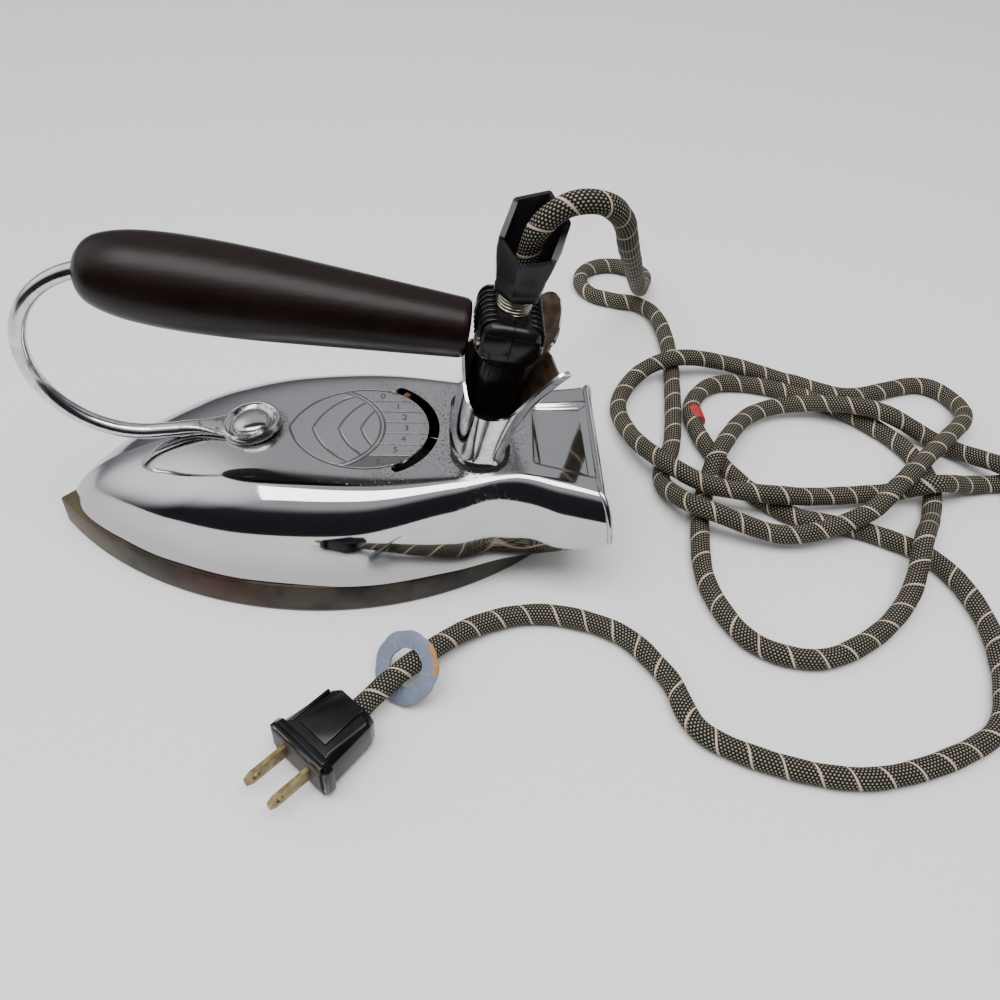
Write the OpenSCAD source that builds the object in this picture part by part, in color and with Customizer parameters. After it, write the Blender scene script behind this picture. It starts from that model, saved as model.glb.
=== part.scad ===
// Clothes iron with a cantilevered wooden handle, a heat indicator and a pull-off appliance plug.
// Nose towards -X, heel towards +X, +Z up. The origin is on the soleplate's flat face, under its
// widest section. Millimetres.

/* [Soleplate] */
// Distance from the widest section to the nose tip
sole_nose = 114; // [100:1:125]
// Distance from the widest section to the heel tip
sole_heel = 109; // [95:1:115]
// Half width of the soleplate
sole_half = 50; // [44:1:56]
// Thickness of the soleplate casting
sole_t = 15; // [12:0.5:17]

/* [Shell] */
// Height of the flat dial panel above the table
panel_z = 57; // [54:0.5:62]
// Thickness of the drawn sheet
sheet_t = 1.2; // [0.8:0.1:1.6]
// Radius of the curved indicator slot's centre line
slot_r = 27; // [22:0.5:28]
// Width of the curved slot
slot_w = 4.4; // [3:0.2:5.5]
// Half angle that the slot covers
slot_half = 62; // [45:1:70]

/* [Handle] */
// Diameter of the bent rod
rod_d = 6.4; // [5:0.2:8]
// Radius of the rod's bend
bend_r = 38; // [34:1:42]
// Length of the wooden grip
grip_len = 140; // [110:1:145]
// Largest diameter of the grip
grip_d = 34; // [28:1:38]
// Downward slope of the grip towards the heel
grip_slope = 9.6; // [4:0.2:12]

/* [Terminals] */
// Backward lean of the pins, the guard and the appliance plug
lean = 10; // [5:1:14]
// Distance between the two terminal pins
pin_gap = 19; // [17:0.5:20]
// Diameter of a terminal pin
pin_d = 4.8; // [4:0.2:5.2]
// Travel that pulls the appliance plug off its pins
pull_off = 30; // [26:1:36]

/* [Cord] */
// Diameter of the cotton-covered cord
cord_d = 8.4; // [7.6:0.1:8.4]

/* [Hidden] */
$fn = 64;

// Frames of reference
guard_x = 74;                         // foot of the socket guard's axis on the panel
eye_x = -18;                          // handle screw on the panel
eye_tilt = 7.5;                       // slope of the panel under the eye
eye_z = 56.4;                         // panel height under the eye
dial_x = 28.5;                        // pivot of the heat indicator
bend_c = [-62, 91.5];                 // centre of the rod's bend, in X and Z
grip_start = [-63, 128.7];            // point of the grip's axis where the rod enters it

module leaning() translate([guard_x, 0, panel_z]) rotate([0, lean, 0]) children();
module on_eye() translate([eye_x, 0, eye_z]) rotate([0, -eye_tilt, 0]) children();
module along_grip()
    translate([grip_start[0], 0, grip_start[1]]) rotate([0, 90 + grip_slope, 0]) children();
module both_sides() { children(); mirror([0, 1, 0]) children(); }

// ---- Soleplate, element and pressure plate ----

// Boat outline: two arcs at the nose and two at the heel, meeting at the widest section
module boat(nose, heel, half) {
    front_r = (nose * nose + half * half) / (2 * half);
    rear_r = (heel * heel + half * half) / (2 * half);
    intersection() {
        translate([0, half - front_r]) circle(front_r, $fn = 240);
        translate([0, front_r - half]) circle(front_r, $fn = 240);
        translate([-2 * nose, -half]) square([2 * nose, 2 * half]);
    }
    intersection() {
        translate([0, half - rear_r]) circle(rear_r, $fn = 240);
        translate([0, rear_r - half]) circle(rear_r, $fn = 240);
        translate([0, -half]) square([2 * heel, 2 * half]);
    }
}

widest_x = 8;                         // widest section of the castings, along X
element_z = sole_t - 3;               // floor of the pocket that holds the element
mica_t = 0.6;
ribbon_t = 0.4;
plate_z = element_z + 2 * mica_t + ribbon_t;
plate_t = 7;
plate_top = plate_z + plate_t;
stud_x = [-52, 6, 58];                // three studs on the centre line

module soleplate() {
    color("#8a8070") difference() {
        translate([widest_x, 0, 0]) linear_extrude(sole_t) boat(sole_nose, sole_heel, sole_half);
        // pocket for the element and the pressure plate
        translate([widest_x, 0, element_z])
            linear_extrude(sole_t) boat(sole_nose - 34, sole_heel - 26, sole_half - 11);
        for (x = stud_x) translate([x, 0, 5]) cylinder(d = 6, h = sole_t);
    }
}

module element_sheet(z, t) {
    difference() {
        translate([widest_x, 0, z])
            linear_extrude(t) boat(sole_nose - 35, sole_heel - 27, sole_half - 12);
        for (x = stud_x) translate([x, 0, z - 1]) cylinder(d = 9, h = t + 2);
    }
}
module mica_lower() color("#c9b48a") element_sheet(element_z, mica_t);
module mica_upper() color("#d2bd92") difference() {
    element_sheet(element_z + mica_t + ribbon_t, mica_t);
    strap_holes(element_z, 4);
}

// Holes through which the terminal straps reach the ribbon
strap_x = 57.4;
strap_t = 1;
module strap_holes(z, h)
    for (s = [-1, 1]) translate([strap_x + strap_t / 2, s * pin_gap / 2, z]) cylinder(d = 8, h = h);

// One flat ribbon, laid out as a square wave on each side of the studs
ribbon_w = 2.4;
ribbon_pitch = 7;
ribbon_in = 7;                        // distance of the inner bends from the centre line
module heating_ribbon() {
    bars = 15;
    mid = 7;
    half_len = [for (i = [0:bars - 1]) 32 - 0.4 * pow(i - mid, 2)];
    color("#a8a29a") translate([widest_x, 0, element_z + mica_t]) both_sides() {
        for (i = [0:bars - 1]) translate([(i - mid) * ribbon_pitch, ribbon_in, 0])
            cube([ribbon_w, half_len[i] - ribbon_in, ribbon_t]);
        for (i = [0:2:bars - 2]) translate([(i - mid) * ribbon_pitch, ribbon_in, 0])
            cube([ribbon_pitch + ribbon_w, ribbon_w, ribbon_t]);
        for (i = [1:2:bars - 2]) {
            reach = min(half_len[i], half_len[i + 1]) - ribbon_w;
            translate([(i - mid) * ribbon_pitch, reach, 0])
                cube([ribbon_pitch + ribbon_w, ribbon_w, ribbon_t]);
        }
    }
}

module pressure_plate() {
    color("#55504a") difference() {
        translate([widest_x, 0, plate_z])
            linear_extrude(plate_t) boat(sole_nose - 36, sole_heel - 28, sole_half - 13);
        for (x = stud_x) translate([x, 0, plate_z - 1]) cylinder(d = 6.4, h = plate_t + 2);
        strap_holes(plate_z - 1, plate_t + 2);
    }
}

nut_h = 5;
module clamp_studs() color("#777777")
    for (x = stud_x) translate([x, 0, 5]) cylinder(d = 6, h = plate_z + plate_t + nut_h - 3);
module clamp_nuts() color("#8c8c8c")
    for (x = stud_x) translate([x, 0, plate_z + plate_t]) difference() {
        cylinder(d = 11.5, h = nut_h, $fn = 6);
        translate([0, 0, -1]) cylinder(d = 6, h = nut_h + 2);
    }

// ---- Shell ----

// Stations from nose to tail: hem [x, half width, height], then crest [x, half width, height],
// then the fullness of the side between them
stations = [
    [[ -99,    0, 15], [-14,    0, 56.7], 1.7],
    [[ -93, 10.5, 15], [-13,    7, 56.8], 1.8],
    [[ -76, 23.5, 15], [ -7,   14, 57.0], 2.1],
    [[ -52, 36.3, 15], [  3, 19.5, 57.0], 2.5],
    [[ -18, 46.4, 15], [ 18, 23.5, 57.0], 2.8],
    [[  26, 48.8, 15], [ 42,   27, 57.0], 2.8],
    [[  62, 41.0, 15], [ 68, 26.5, 57.0], 2.7],
    [[  86, 34.5, 17], [ 88,   24, 56.6], 2.4],
    [[ 106,   38, 25], [104, 26.5, 55.3], 2.1],
    [[ 126,   42, 33], [121,   32, 53.6], 1.8]];
per_span = 3;                         // steps between two stations
side_steps = 7;                       // steps between hem and crest

function mix4(a, b, c, d, t) =        // Catmull-Rom curve from b to c
    0.5 * (2 * b + (c - a) * t + (2 * a - 5 * b + 4 * c - d) * t * t
           + (3 * b - 3 * c + d - a) * t * t * t);
function at(list, i) = list[max(0, min(len(list) - 1, i))];
function along(list, k, n) =
    let (i = floor(k / n), t = k / n - i)
    t == 0 ? at(list, i) : mix4(at(list, i - 1), at(list, i), at(list, i + 1), at(list, i + 2), t);

hems = [for (s = stations) s[0]];
crests = [for (s = stations) s[1]];
fullness = [for (s = stations) s[2]];
last = (len(stations) - 1) * per_span;

// Point on the side at station k, a share s of the way from hem to crest, moved inwards by inset
function side_point(k, s, inset) =
    let (h = along(hems, k, per_span), c = along(crests, k, per_span),
         n = along(fullness, k, per_span),
         nose_in = inset * 1.5 * max(0, 1 - k / 6), tail_in = k == last ? -inset * 1.4 : 0,
         hem = [h[0] + nose_in + tail_in, max(0, h[1] - inset), h[2]],
         crest = [c[0] + tail_in, max(0, c[1] - 0.6 * inset), c[2] - inset],
         f = pow(cos(90 * s), 2 / n), g = pow(sin(90 * s), 2 / n))
    [crest[0] + (hem[0] - crest[0]) * f,
     crest[1] + (hem[1] - crest[1]) * f,
     hem[2] + (crest[2] - hem[2]) * g];

// Closed ring at one level: near side from nose to tail, then the far side back
function level(s, inset) = concat(
    [for (k = [0:last]) let (p = side_point(k, s, inset)) [p[0], -p[1], p[2]]],
    [for (k = [last:-1:1]) side_point(k, s, inset)]);
ring_n = 2 * last + 1;
function wall_faces(base, steps, flip) = [for (j = [0:steps - 1], i = [0:ring_n - 1])
    let (a = base + j * ring_n + i, b = base + j * ring_n + (i + 1) % ring_n,
         c = b + ring_n, d = a + ring_n)
        for (f = flip ? [[a, b, c], [a, c, d]] : [[a, c, b], [a, d, c]]) f];
// Top: straight across from each near point to its mirror image
function top_faces(base, flip) = concat(
    [let (f = [base, base + 1, base + ring_n - 1]) flip ? f : [f[0], f[2], f[1]]],
    [for (k = [1:last - 1]) let (a = base + k, b = base + k + 1,
         c = base + ring_n - k - 1, d = base + ring_n - k)
        for (f = flip ? [[a, b, c], [a, c, d]] : [[a, c, b], [a, d, c]]) f]);

module shell_sheet() {
    outer = [for (j = [0:side_steps]) each level(j / side_steps, 0)];
    inner = [for (j = [0:side_steps]) each level(j / side_steps, sheet_t)];
    count = (side_steps + 1) * ring_n;
    top = side_steps * ring_n;
    hem_faces = [for (i = [0:ring_n - 1]) let (a = i, b = (i + 1) % ring_n)
        for (f = [[a, b + count, b], [a, a + count, b + count]]) f];
    polyhedron(concat(outer, inner), concat(
        wall_faces(0, side_steps, false), top_faces(top, false),
        wall_faces(count, side_steps, true), top_faces(count + top, true),
        [for (f = hem_faces) [f[0], f[2], f[1]]]));
}

// Curved slot as a plan outline: a ring cut to the slot's angle, with round ends
module slot_outline(r, w, half) {
    difference() {
        intersection() {
            circle(r + w / 2, $fn = 128);
            polygon([[0, 0], [2 * r * cos(half), 2 * r * sin(half)], [4 * r, 0],
                     [2 * r * cos(half), -2 * r * sin(half)]]);
        }
        circle(r - w / 2, $fn = 128);
    }
    for (a = [-half, half]) rotate(a) translate([r, 0]) circle(w / 2);
}
// Outline with straight sides along X and round ends at plus and minus reach in Y
module oblong(r, reach) {
    square([2 * r, 2 * reach], center = true);
    for (s = [-1, 1]) translate([0, s * reach]) circle(r);
}

guard_r = 11.5;                       // half width of the guard's foot along X
guard_reach = 13;                     // centres of its round ends along Y
post_hole = 5.4;
module shell() {
    color("#c6c8cb") difference() {
        shell_sheet();
        translate([dial_x, 0, panel_z - 6]) linear_extrude(12)
            slot_outline(slot_r, slot_w, slot_half);
        translate([guard_x, 0, panel_z - 6]) linear_extrude(12)
            oblong(guard_r - 2.5, guard_reach);
        on_eye() translate([0, 0, -8]) cylinder(d = post_hole, h = 16);
    }
}

// Stamped plate under the tail, from the rear rim forward to above the soleplate
module heel_plate() {
    color("#a9abae") polyhedron(
        [for (z = [0, 1]) each [[92, -33, 19.3 + z], [92, 33, 19.3 + z], [105, 35.8, 24 + z],
                                [124, 39.2, 31 + z], [124, -39.2, 31 + z], [105, -35.8, 24 + z]]],
        concat([[5, 4, 3, 2, 1, 0], [6, 7, 8, 9, 10, 11]],
               [for (i = [0:5]) let (j = (i + 1) % 6) [i, j, j + 6, i + 6]]));
}

// ---- Handle ----

eye_gap = 0.5;                        // the eye's rim rides just clear of the curved shell
eye_t = 3.4;
eye_r = 12;
screw_d = 5;
entry = 13.6;                         // angle past upright at which the rod meets the grip
tang_len = grip_len - 10;
module bend_piece(centre, r, from, to)
    translate([centre[0], 0, centre[1]]) rotate([90, 0, 0]) rotate([0, 0, from])
        rotate_extrude(angle = to - from) translate([r, 0]) circle(d = rod_d);

module handle_rod() {
    foot_a = 6.1;                     // slope of the straight stretch between bend and eye
    foot = bend_c + bend_r * [sin(foot_a), -cos(foot_a)];
    neck_r = 20;
    lap = 0.4;                        // overlap of one stretch with the next, in degrees
    enter = bend_c + bend_r * [-sin(entry), cos(entry)];
    neck_c = enter + neck_r * [sin(entry), -cos(entry)];
    color("#c3c5c8") difference() {
        union() {
            // eye with its raised rim
            on_eye() {
                translate([0, 0, eye_gap]) cylinder(r = eye_r, h = eye_t - 0.9);
                translate([0, 0, eye_gap]) difference() {
                    cylinder(r = eye_r, h = eye_t);
                    translate([0, 0, eye_t - 1]) cylinder(r = eye_r - 2.6, h = 2);
                }
            }
            // flattened neck between the eye and the round rod
            hull() {
                translate([foot[0] + 10, 0, foot[1] + 1.1]) rotate([0, 90 - foot_a, 0])
                    cylinder(d = rod_d, h = 1, $fn = 32);
                on_eye() translate([-eye_r + 2, 0, 2.1]) cube([1, 13, 2.4], center = true);
            }
            translate([foot[0], 0, foot[1]]) rotate([0, 90 - foot_a, 0])
                cylinder(d = rod_d, h = 11);
            bend_piece(bend_c, bend_r, 90 + entry - lap, 270 + foot_a + lap);
            bend_piece(neck_c, neck_r, 90 - grip_slope - lap, 90 + entry);
            translate([neck_c[0] + neck_r * sin(grip_slope), 0, neck_c[1] + neck_r * cos(grip_slope)])
                rotate([0, 90 + grip_slope, 0]) cylinder(d = rod_d, h = tang_len);
        }
        on_eye() translate([0, 0, -2]) cylinder(d = screw_d + 0.3, h = 10);
    }
}

module handle_screw() color("#b9bbbe") on_eye() {
    translate([0, 0, -16]) cylinder(d = screw_d, h = 19);
    translate([0, 0, eye_gap + eye_t - 0.85]) intersection() {
        translate([0, 0, -6.6]) sphere(r = 10.3);
        cylinder(d = 15, h = 6);
    }
}

// Stands on the pressure plate, and its foot is cut level with it
module handle_post() {
    post_len = 36;
    foot_h = 5;
    color("#6d6a66") difference() {
        on_eye() translate([0, 0, -post_len - 1.6]) difference() {
            union() {
                cylinder(d = 12, h = post_len);
                cylinder(d = 17, h = foot_h);
            }
            translate([0, 0, post_len - 15.4]) cylinder(d = screw_d, h = 20);
        }
        translate([eye_x - 30, -20, plate_top - 20]) cube([60, 40, 20]);
    }
}

// Turned profile of the grip: distance from its front end, radius as a share of the largest
grip_profile = [[0, 0.34], [2.5, 0.58], [7, 0.76], [16, 0.91], [28, 0.985], [42, 1], [60, 0.965],
                [82, 0.88], [106, 0.78], [130, 0.68], [134.5, 0.66], [136, 0.6]];
grip_back = 7.4;                      // how far the grip's front end lies ahead of grip_start
cup_r = 7.4;
cup_h = 12;
module handle_grip() {
    k = grip_len / 136;
    color("#2b1c18") along_grip() translate([0, 0, -grip_back]) difference() {
        rotate_extrude() polygon(concat([[0, 0]],
            [for (p = grip_profile) [p[1] * grip_d / 2, p[0] * k]], [[0, grip_len]]));
        translate([0, 0, -1]) cylinder(d = rod_d + 0.5, h = grip_len + 2);
        // the rod enters on a bend, so the mouth of its bore is opened downwards
        translate([-1.4, 0, -1]) cylinder(d = rod_d + 0.9, h = grip_back + 4);
        translate([0, 0, grip_len - cup_h]) cylinder(r = cup_r, h = cup_h + 1);
    }
}
module grip_end() along_grip() translate([0, 0, grip_len - grip_back - cup_h]) children();
module handle_washer() color("#b0b0ae") grip_end() difference() {
    cylinder(r = cup_r - 0.4, h = 1.2);
    translate([0, 0, -1]) cylinder(d = rod_d + 0.4, h = 4);
}
module handle_nut() color("#a2a29e") grip_end() translate([0, 0, 1.2]) difference() {
    cylinder(d = 12.6, h = 5, $fn = 6);
    translate([0, 0, -1]) cylinder(d = rod_d, h = 8);
}

// ---- Terminals and guard ----

gasket_low = 0.15;                    // keeps the gasket off the shell's slight swell
gasket_t = 2;
guard_z = panel_z + gasket_t;
guard_steps = 6;
guard_n = 48;
foot_r = guard_r - 2.6;
function bump(a, centre, width) = let (d = (a - centre) / width) exp(-d * d);
function sgn_pow(v, p) = sign(v) * pow(abs(v), p);
// Height of the guard's rim at an angle counted from the heel
function rim_h(a) = 25 + 9 * bump(abs(a), 180, 38) + 22 * bump(abs(a), 40, 24)
    + 11 * bump(a, 0, 12);
// Outward flare of the rim
function rim_flare(a) = 2.5 + 13 * bump(abs(a), 30, 30);
function guard_point(i, s, inset) =
    let (a = 360 * i / guard_n - 180,
         side = [(guard_r - inset) * sgn_pow(cos(a), 0.77),
                 (guard_r + guard_reach - inset) * sgn_pow(sin(a), 0.77)],
         h = s * rim_h(a), out = rim_flare(a) * pow(s, 1.7))
    [guard_x + side[0] + h * tan(lean) + out * cos(a), side[1] + out * sin(a), guard_z + h];

module socket_guard() {
    outer = [for (j = [0:guard_steps], i = [0:guard_n - 1]) guard_point(i, j / guard_steps, 0)];
    inner = [for (j = [0:guard_steps], i = [0:guard_n - 1]) guard_point(i, j / guard_steps, 1.1)];
    count = (guard_steps + 1) * guard_n;
    top = guard_steps * guard_n;
    walls = [for (j = [0:guard_steps - 1], i = [0:guard_n - 1])
        let (a = j * guard_n + i, b = j * guard_n + (i + 1) % guard_n, c = b + guard_n, d = a + guard_n)
        each [[a, c, b], [a, d, c],
              [a + count, b + count, c + count], [a + count, c + count, d + count]]];
    rims = [for (i = [0:guard_n - 1]) let (j = (i + 1) % guard_n)
        each [[i, j, j + count], [i, j + count, i + count],
              [top + i, top + j + count, top + j], [top + i, top + i + count, top + j + count]]];
    color("#bfc1c4") polyhedron(concat(outer, inner), concat(walls, rims));
}

module guard_gasket() color("#1c1b1a") difference() {
    translate([guard_x, 0, panel_z + gasket_low])
        linear_extrude(gasket_t - gasket_low) oblong(guard_r + 0.4, guard_reach);
    translate([guard_x, 0, panel_z - 1]) linear_extrude(gasket_t + 2) oblong(foot_r, guard_reach);
}

block_z = 44;
module at_pins() for (s = [-1, 1]) leaning() translate([0, s * pin_gap / 2, 0]) children();
module terminal_block() color("#d8d2c4") difference() {
    union() {
        translate([guard_x - 1, 0, block_z]) linear_extrude(11.5) oblong(foot_r + 3, guard_reach);
        translate([guard_x, 0, block_z]) linear_extrude(18) oblong(foot_r - 1.6, guard_reach);
    }
    at_pins() translate([0, 0, -30]) cylinder(d = pin_d, h = 60);
}
pin_low = -20;
pin_high = 27;
module terminal_pins() color("#b9b29c") at_pins() {
    translate([0, 0, pin_low]) cylinder(d = pin_d, h = pin_high - pin_low - 2);
    translate([0, 0, pin_high - 2.01]) cylinder(d1 = pin_d, d2 = pin_d - 2, h = 2);
}
module terminal_nuts() color("#a08c58") at_pins() translate([0, 0, -18.4]) difference() {
    cylinder(d = 9, h = 3.6, $fn = 6);
    translate([0, 0, -1]) cylinder(d = pin_d, h = 6);
}
strap_z = 37;
strap_w = 4;
module terminal_straps() color("#b7a36a") for (s = [-1, 1]) difference() {
    foot = element_z + mica_t + ribbon_t;
    union() {
        translate([strap_x, s * pin_gap / 2 - strap_w / 2, foot])
            cube([strap_t, strap_w, strap_z - foot + strap_t]);
        translate([strap_x, s * pin_gap / 2 - 3.5, strap_z]) cube([17, 7, strap_t]);
    }
    leaning() translate([0, s * pin_gap / 2, -30]) cylinder(d = pin_d + 0.3, h = 20);
}

// ---- Heat indicator ----

shaft_d = 3;
coil_z = 42;
coil_h = 5;
pointer_z = 49.5;
cold_a = 56;                          // pointer's angle at the cold end of the slot
module on_pivot() translate([dial_x, 0, 0]) children();
module indicator_bracket() color("#8f8b83") on_pivot() {
    difference() {
        union() {
            translate([0, 0, plate_top]) cylinder(d = 17, h = 2);
            translate([0, 0, plate_top]) cylinder(d = 8, h = 40 - plate_top);
            translate([-13, -4, plate_top]) cube([10, 8, 2]);
        }
        translate([0, 0, 30]) cylinder(d = shaft_d + 0.1, h = 20);
    }
    translate([-11.6, 0, plate_top]) cylinder(d = 1.8, h = coil_z + coil_h - plate_top);
}
// Flat spiral of strip: outer edge out, inner edge back
coil_turns = 3;
coil_steps = 20;
coil_in = 1.8;
coil_pitch = 2.7;
strip_t = 0.8;
module bimetal_coil() {
    spiral = function (k, side) let (r = coil_in + coil_pitch * k / coil_steps + side)
        r * [cos(360 * k / coil_steps + 180), sin(360 * k / coil_steps + 180)];
    n = coil_turns * coil_steps;
    color("#b08d5a") on_pivot() translate([0, 0, coil_z]) linear_extrude(coil_h) polygon(concat(
        [for (k = [0:n]) spiral(k, strip_t)], [for (k = [n:-1:0]) spiral(k, 0)]));
}
module indicator_shaft() color("#9a9a9a") on_pivot()
    translate([0, 0, 30.2]) cylinder(d = shaft_d, h = 22.6);
module indicator_pointer() {
    tip_w = 2.4;
    color("#7a4a2c") on_pivot() rotate(cold_a) {
        translate([0, 0, pointer_z]) difference() {
            union() {
                cylinder(d = 8, h = 2);
                translate([0, -1.2, 0]) cube([slot_r, 2.4, 1.2]);
            }
            translate([0, 0, -1]) cylinder(d = shaft_d, h = 5);
        }
        translate([slot_r - tip_w / 2, -tip_w / 2, pointer_z])
            cube([tip_w, tip_w, panel_z - 0.7 - pointer_z]);
    }
}

// ---- Appliance plug ----

module round_rect(w, l, r) {
    square([w - 2 * r, l], center = true);
    square([w, l - 2 * r], center = true);
    for (x = [-1, 1], y = [-1, 1]) translate([x * (w / 2 - r), y * (l / 2 - r)]) circle(r);
}
body_low = 10;                        // heights are along the leaning axis, from the panel
body_mid = 43;
body_top = 58;
spring_r = 6.5;
sleeve_d = 7.4;
sleeve_top = 34;
module connector_solid() difference() {
    union() {
        translate([0, 0, body_low]) linear_extrude(body_mid - body_low) round_rect(17, 28, 5);
        translate([0, 0, body_mid - 4]) linear_extrude(5) round_rect(20.5, 29.5, 5);
        translate([0, 0, body_mid]) linear_extrude(body_top - body_mid) round_rect(23.5, 31, 5);
        translate([0, 0, body_top - 1]) linear_extrude(3) round_rect(20.5, 28, 5);
    }
    for (s = [-1, 1]) translate([0, s * pin_gap / 2, body_low - 1])
        cylinder(d = sleeve_d, h = sleeve_top - body_low + 1);
    translate([0, 0, 46]) cylinder(r = spring_r, h = 30);
    for (s = [-1, 1]) translate([0, s * 11, 51]) rotate([0, 90, 0]) {
        cylinder(d = 3, h = 40, center = true);
        for (e = [-1, 1]) translate([0, 0, e * 11]) cylinder(d = 6, h = 4, center = true);
    }
}
module half_space(side) translate([side * 30, 0, 50]) cube([60, 80, 120], center = true);
module connector_front() color("#161414") leaning() intersection() {
    connector_solid();
    half_space(-1);
}
module connector_rear() color("#1a1818") leaning() intersection() {
    connector_solid();
    half_space(1);
}
module connector_sleeves() color("#a89a72") at_pins() translate([0, 0, body_low]) difference() {
    cylinder(d = sleeve_d, h = sleeve_top - body_low);
    translate([0, 0, -1]) cylinder(d = pin_d + 0.1, h = sleeve_top - body_low - 2);
}
module connector_screws() color("#8d8a80") for (s = [-1, 1])
    leaning() translate([0, s * 11, 51]) rotate([0, 90, 0]) {
        cylinder(d = 3, h = 18, center = true);
        for (e = [-1, 1]) translate([0, 0, e * 9.9]) cylinder(d = 6, h = 1.8, center = true);
    }
spring_low = 46;
spring_high = 82;
wire = 1.2;
module connector_spring() {
    n = floor((spring_high - spring_low) / wire);
    color("#b3a98a") leaning() translate([0, 0, spring_low]) rotate_extrude() polygon(concat(
        [[spring_r - wire, 0]],
        [for (i = [0:n - 1]) each [[spring_r - 0.4, (i + 0.05) * wire], [spring_r, (i + 0.35) * wire],
                                   [spring_r, (i + 0.65) * wire], [spring_r - 0.4, (i + 0.95) * wire]]],
        [[spring_r - wire, n * wire]]));
}

// Hexagonal sleeve with an oblique mouth
hood_low = 67;
hood_wide = 84;
hood_top = 108;
module cord_hood() color("#141313") leaning() difference() {
    rotate(12) union() {
        translate([0, 0, hood_low]) cylinder(r1 = 9.2, r2 = 12.4, h = hood_wide - hood_low, $fn = 6);
        translate([0, 0, hood_wide - 0.01])
            cylinder(r1 = 12.4, r2 = 12.8, h = hood_top - hood_wide, $fn = 6);
    }
    rotate(12) {
        translate([0, 0, hood_low - 1]) cylinder(r1 = 7.7, r2 = 9.8, h = hood_wide - hood_low + 1, $fn = 6);
        translate([0, 0, hood_wide - 0.01]) cylinder(r1 = 9.8, r2 = 10.4, h = 40, $fn = 6);
    }
    translate([0, 0, 92]) rotate([37, -9, 0]) translate([-40, -40, 0]) cube([80, 80, 60]);
}

// ---- Cord and supply plug ----

// Route of the cord's centre line. Where it passes over itself it rises in a low hump.
lie = 4.3;                            // height of the centre line where it lies on the table
// Out of the hood, over the top and down behind the heel
rise = [[85, 0, 120], [88, 0, 136], [91, -3, 150], [100, -4, 159.5], [112, -1, 159],
    [122, 10, 147], [131, 34, 121], [160, 134, 41], [171, 173, 16]];
// One small turn on the table
curl = [[176.5, 195, 9], [171.5, 208.5, 5.5], [158, 214, lie], [144.5, 208.5, lie],
    [139, 195, lie], [144.5, 182, lie], [158, 176, lie], [171, 172, lie], [180, 157, lie]];
// Forward to the heel, out along the top of the pile and back over the far side
first_loop = [[181, 120, lie], [172, 56, lie], [162, 27, lie], [167, 8, 10.5], [179, -4, 14],
    [212, -12, 8], [246, -5, 13.5], [267, 11, 18.5], [286, 30, 17], [307, 51, 13.7], [322, 69, 9],
    [325, 88, lie], [310, 101, lie], [270, 91, lie], [240, 103, lie], [208, 113, 8],
    [181, 109, 13.6], [161, 102, 8.5], [148, 81, lie], [151, 51, 9], [164, 26.5, 14]];
// Under itself to the right, round the outermost bend and back to the heel
outer_loop = [[182, 13, 13.5], [211, 7, 14], [235, 12, 8.5], [269, 17.5, 6.5], [287, 15.5, 14],
    [311, 24, 5.5], [343, 28, lie], [366, 30, lie], [382, 11, lie], [365, -8, lie], [343, 1, 9],
    [328, 23, 14.6], [307, 53, lie], [275, 67.5, 14.4], [242, 79, 8.5], [213, 70, 8],
    [190, 37, 13.8]];
// Round the near side of the pile and up into its middle
lower_loop = [[181, 18, lie], [174, -8, lie], [172, -39, lie], [184, -67, lie], [209, -76, lie],
    [235, -65, lie], [256, -45, 7], [269, -19, 13.6], [284, 5, lie], [291, 30, lie],
    [283, 57, lie], [258, 83, lie], [226, 98, lie], [200, 98, 4.8]];
// Lowest strand: back out, round the near side and in to the plug
last_run = [[185, 78, 4.8], [188, 48, 4.8], [203, 19, lie], [220, 3, lie], [250, -6, lie],
    [276, -24, lie], [285, -55, lie], [279, -90, lie], [262, -113, lie], [211, -128, lie],
    [160, -112, lie], [147, -84, lie], [130, -63, lie], [100, -54, lie], [72, -62, 6],
    [46, -85, 10.6], [28.7, -103.6, 9.6]];
route = concat(rise, curl, first_loop, outer_loop, lower_loop, last_run);
cord_sides = 10;

function unit(v) = v / norm(v);
function heading(k) = unit(at(route, k + 1) - at(route, k - 1));
module cord() {
    n = len(route);
    rings = [for (k = [0:n - 1]) let (t = heading(k), across = unit(cross(t, [0, 0, 1])),
                                      up = cross(across, t))
        for (i = [0:cord_sides - 1]) let (a = 360 * i / cord_sides)
            route[k] + cord_d / 2 * (cos(a) * across + sin(a) * up)];
    faces = [for (k = [0:n - 2], i = [0:cord_sides - 1])
        let (a = k * cord_sides + i, b = k * cord_sides + (i + 1) % cord_sides)
            each [[a, b, b + cord_sides], [a, b + cord_sides, a + cord_sides]]];
    caps = [[for (i = [cord_sides - 1:-1:0]) i],
            [for (i = [0:cord_sides - 1]) (n - 1) * cord_sides + i]];
    color("#2a2824") polyhedron(rings, concat(faces, caps));
}

// Repair tape round one strand
tape_d = cord_d + 0.9;
module cord_tape() {
    from = last_run[0];
    way = last_run[1] - from;
    color("#a83a32") translate(from) rotate([0, 0, atan2(way[1], way[0])]) rotate([0, 90, 0])
        translate([0, 0, 2]) difference() {
            cylinder(d = tape_d, h = 9);
            translate([0, 0, -1]) cylinder(d = cord_d + 0.1, h = 11);
        }
}

// Loose insulating washer that leans on the cord
module fibre_disc() color("#77808a")
    translate([46, -85, 10.9]) rotate([0, 45, 225]) translate([0, 0, -0.5]) difference() {
        cylinder(d = 28.6, h = 1);
        translate([0, 0, -1]) cylinder(d = 14, h = 3);
    }

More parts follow.
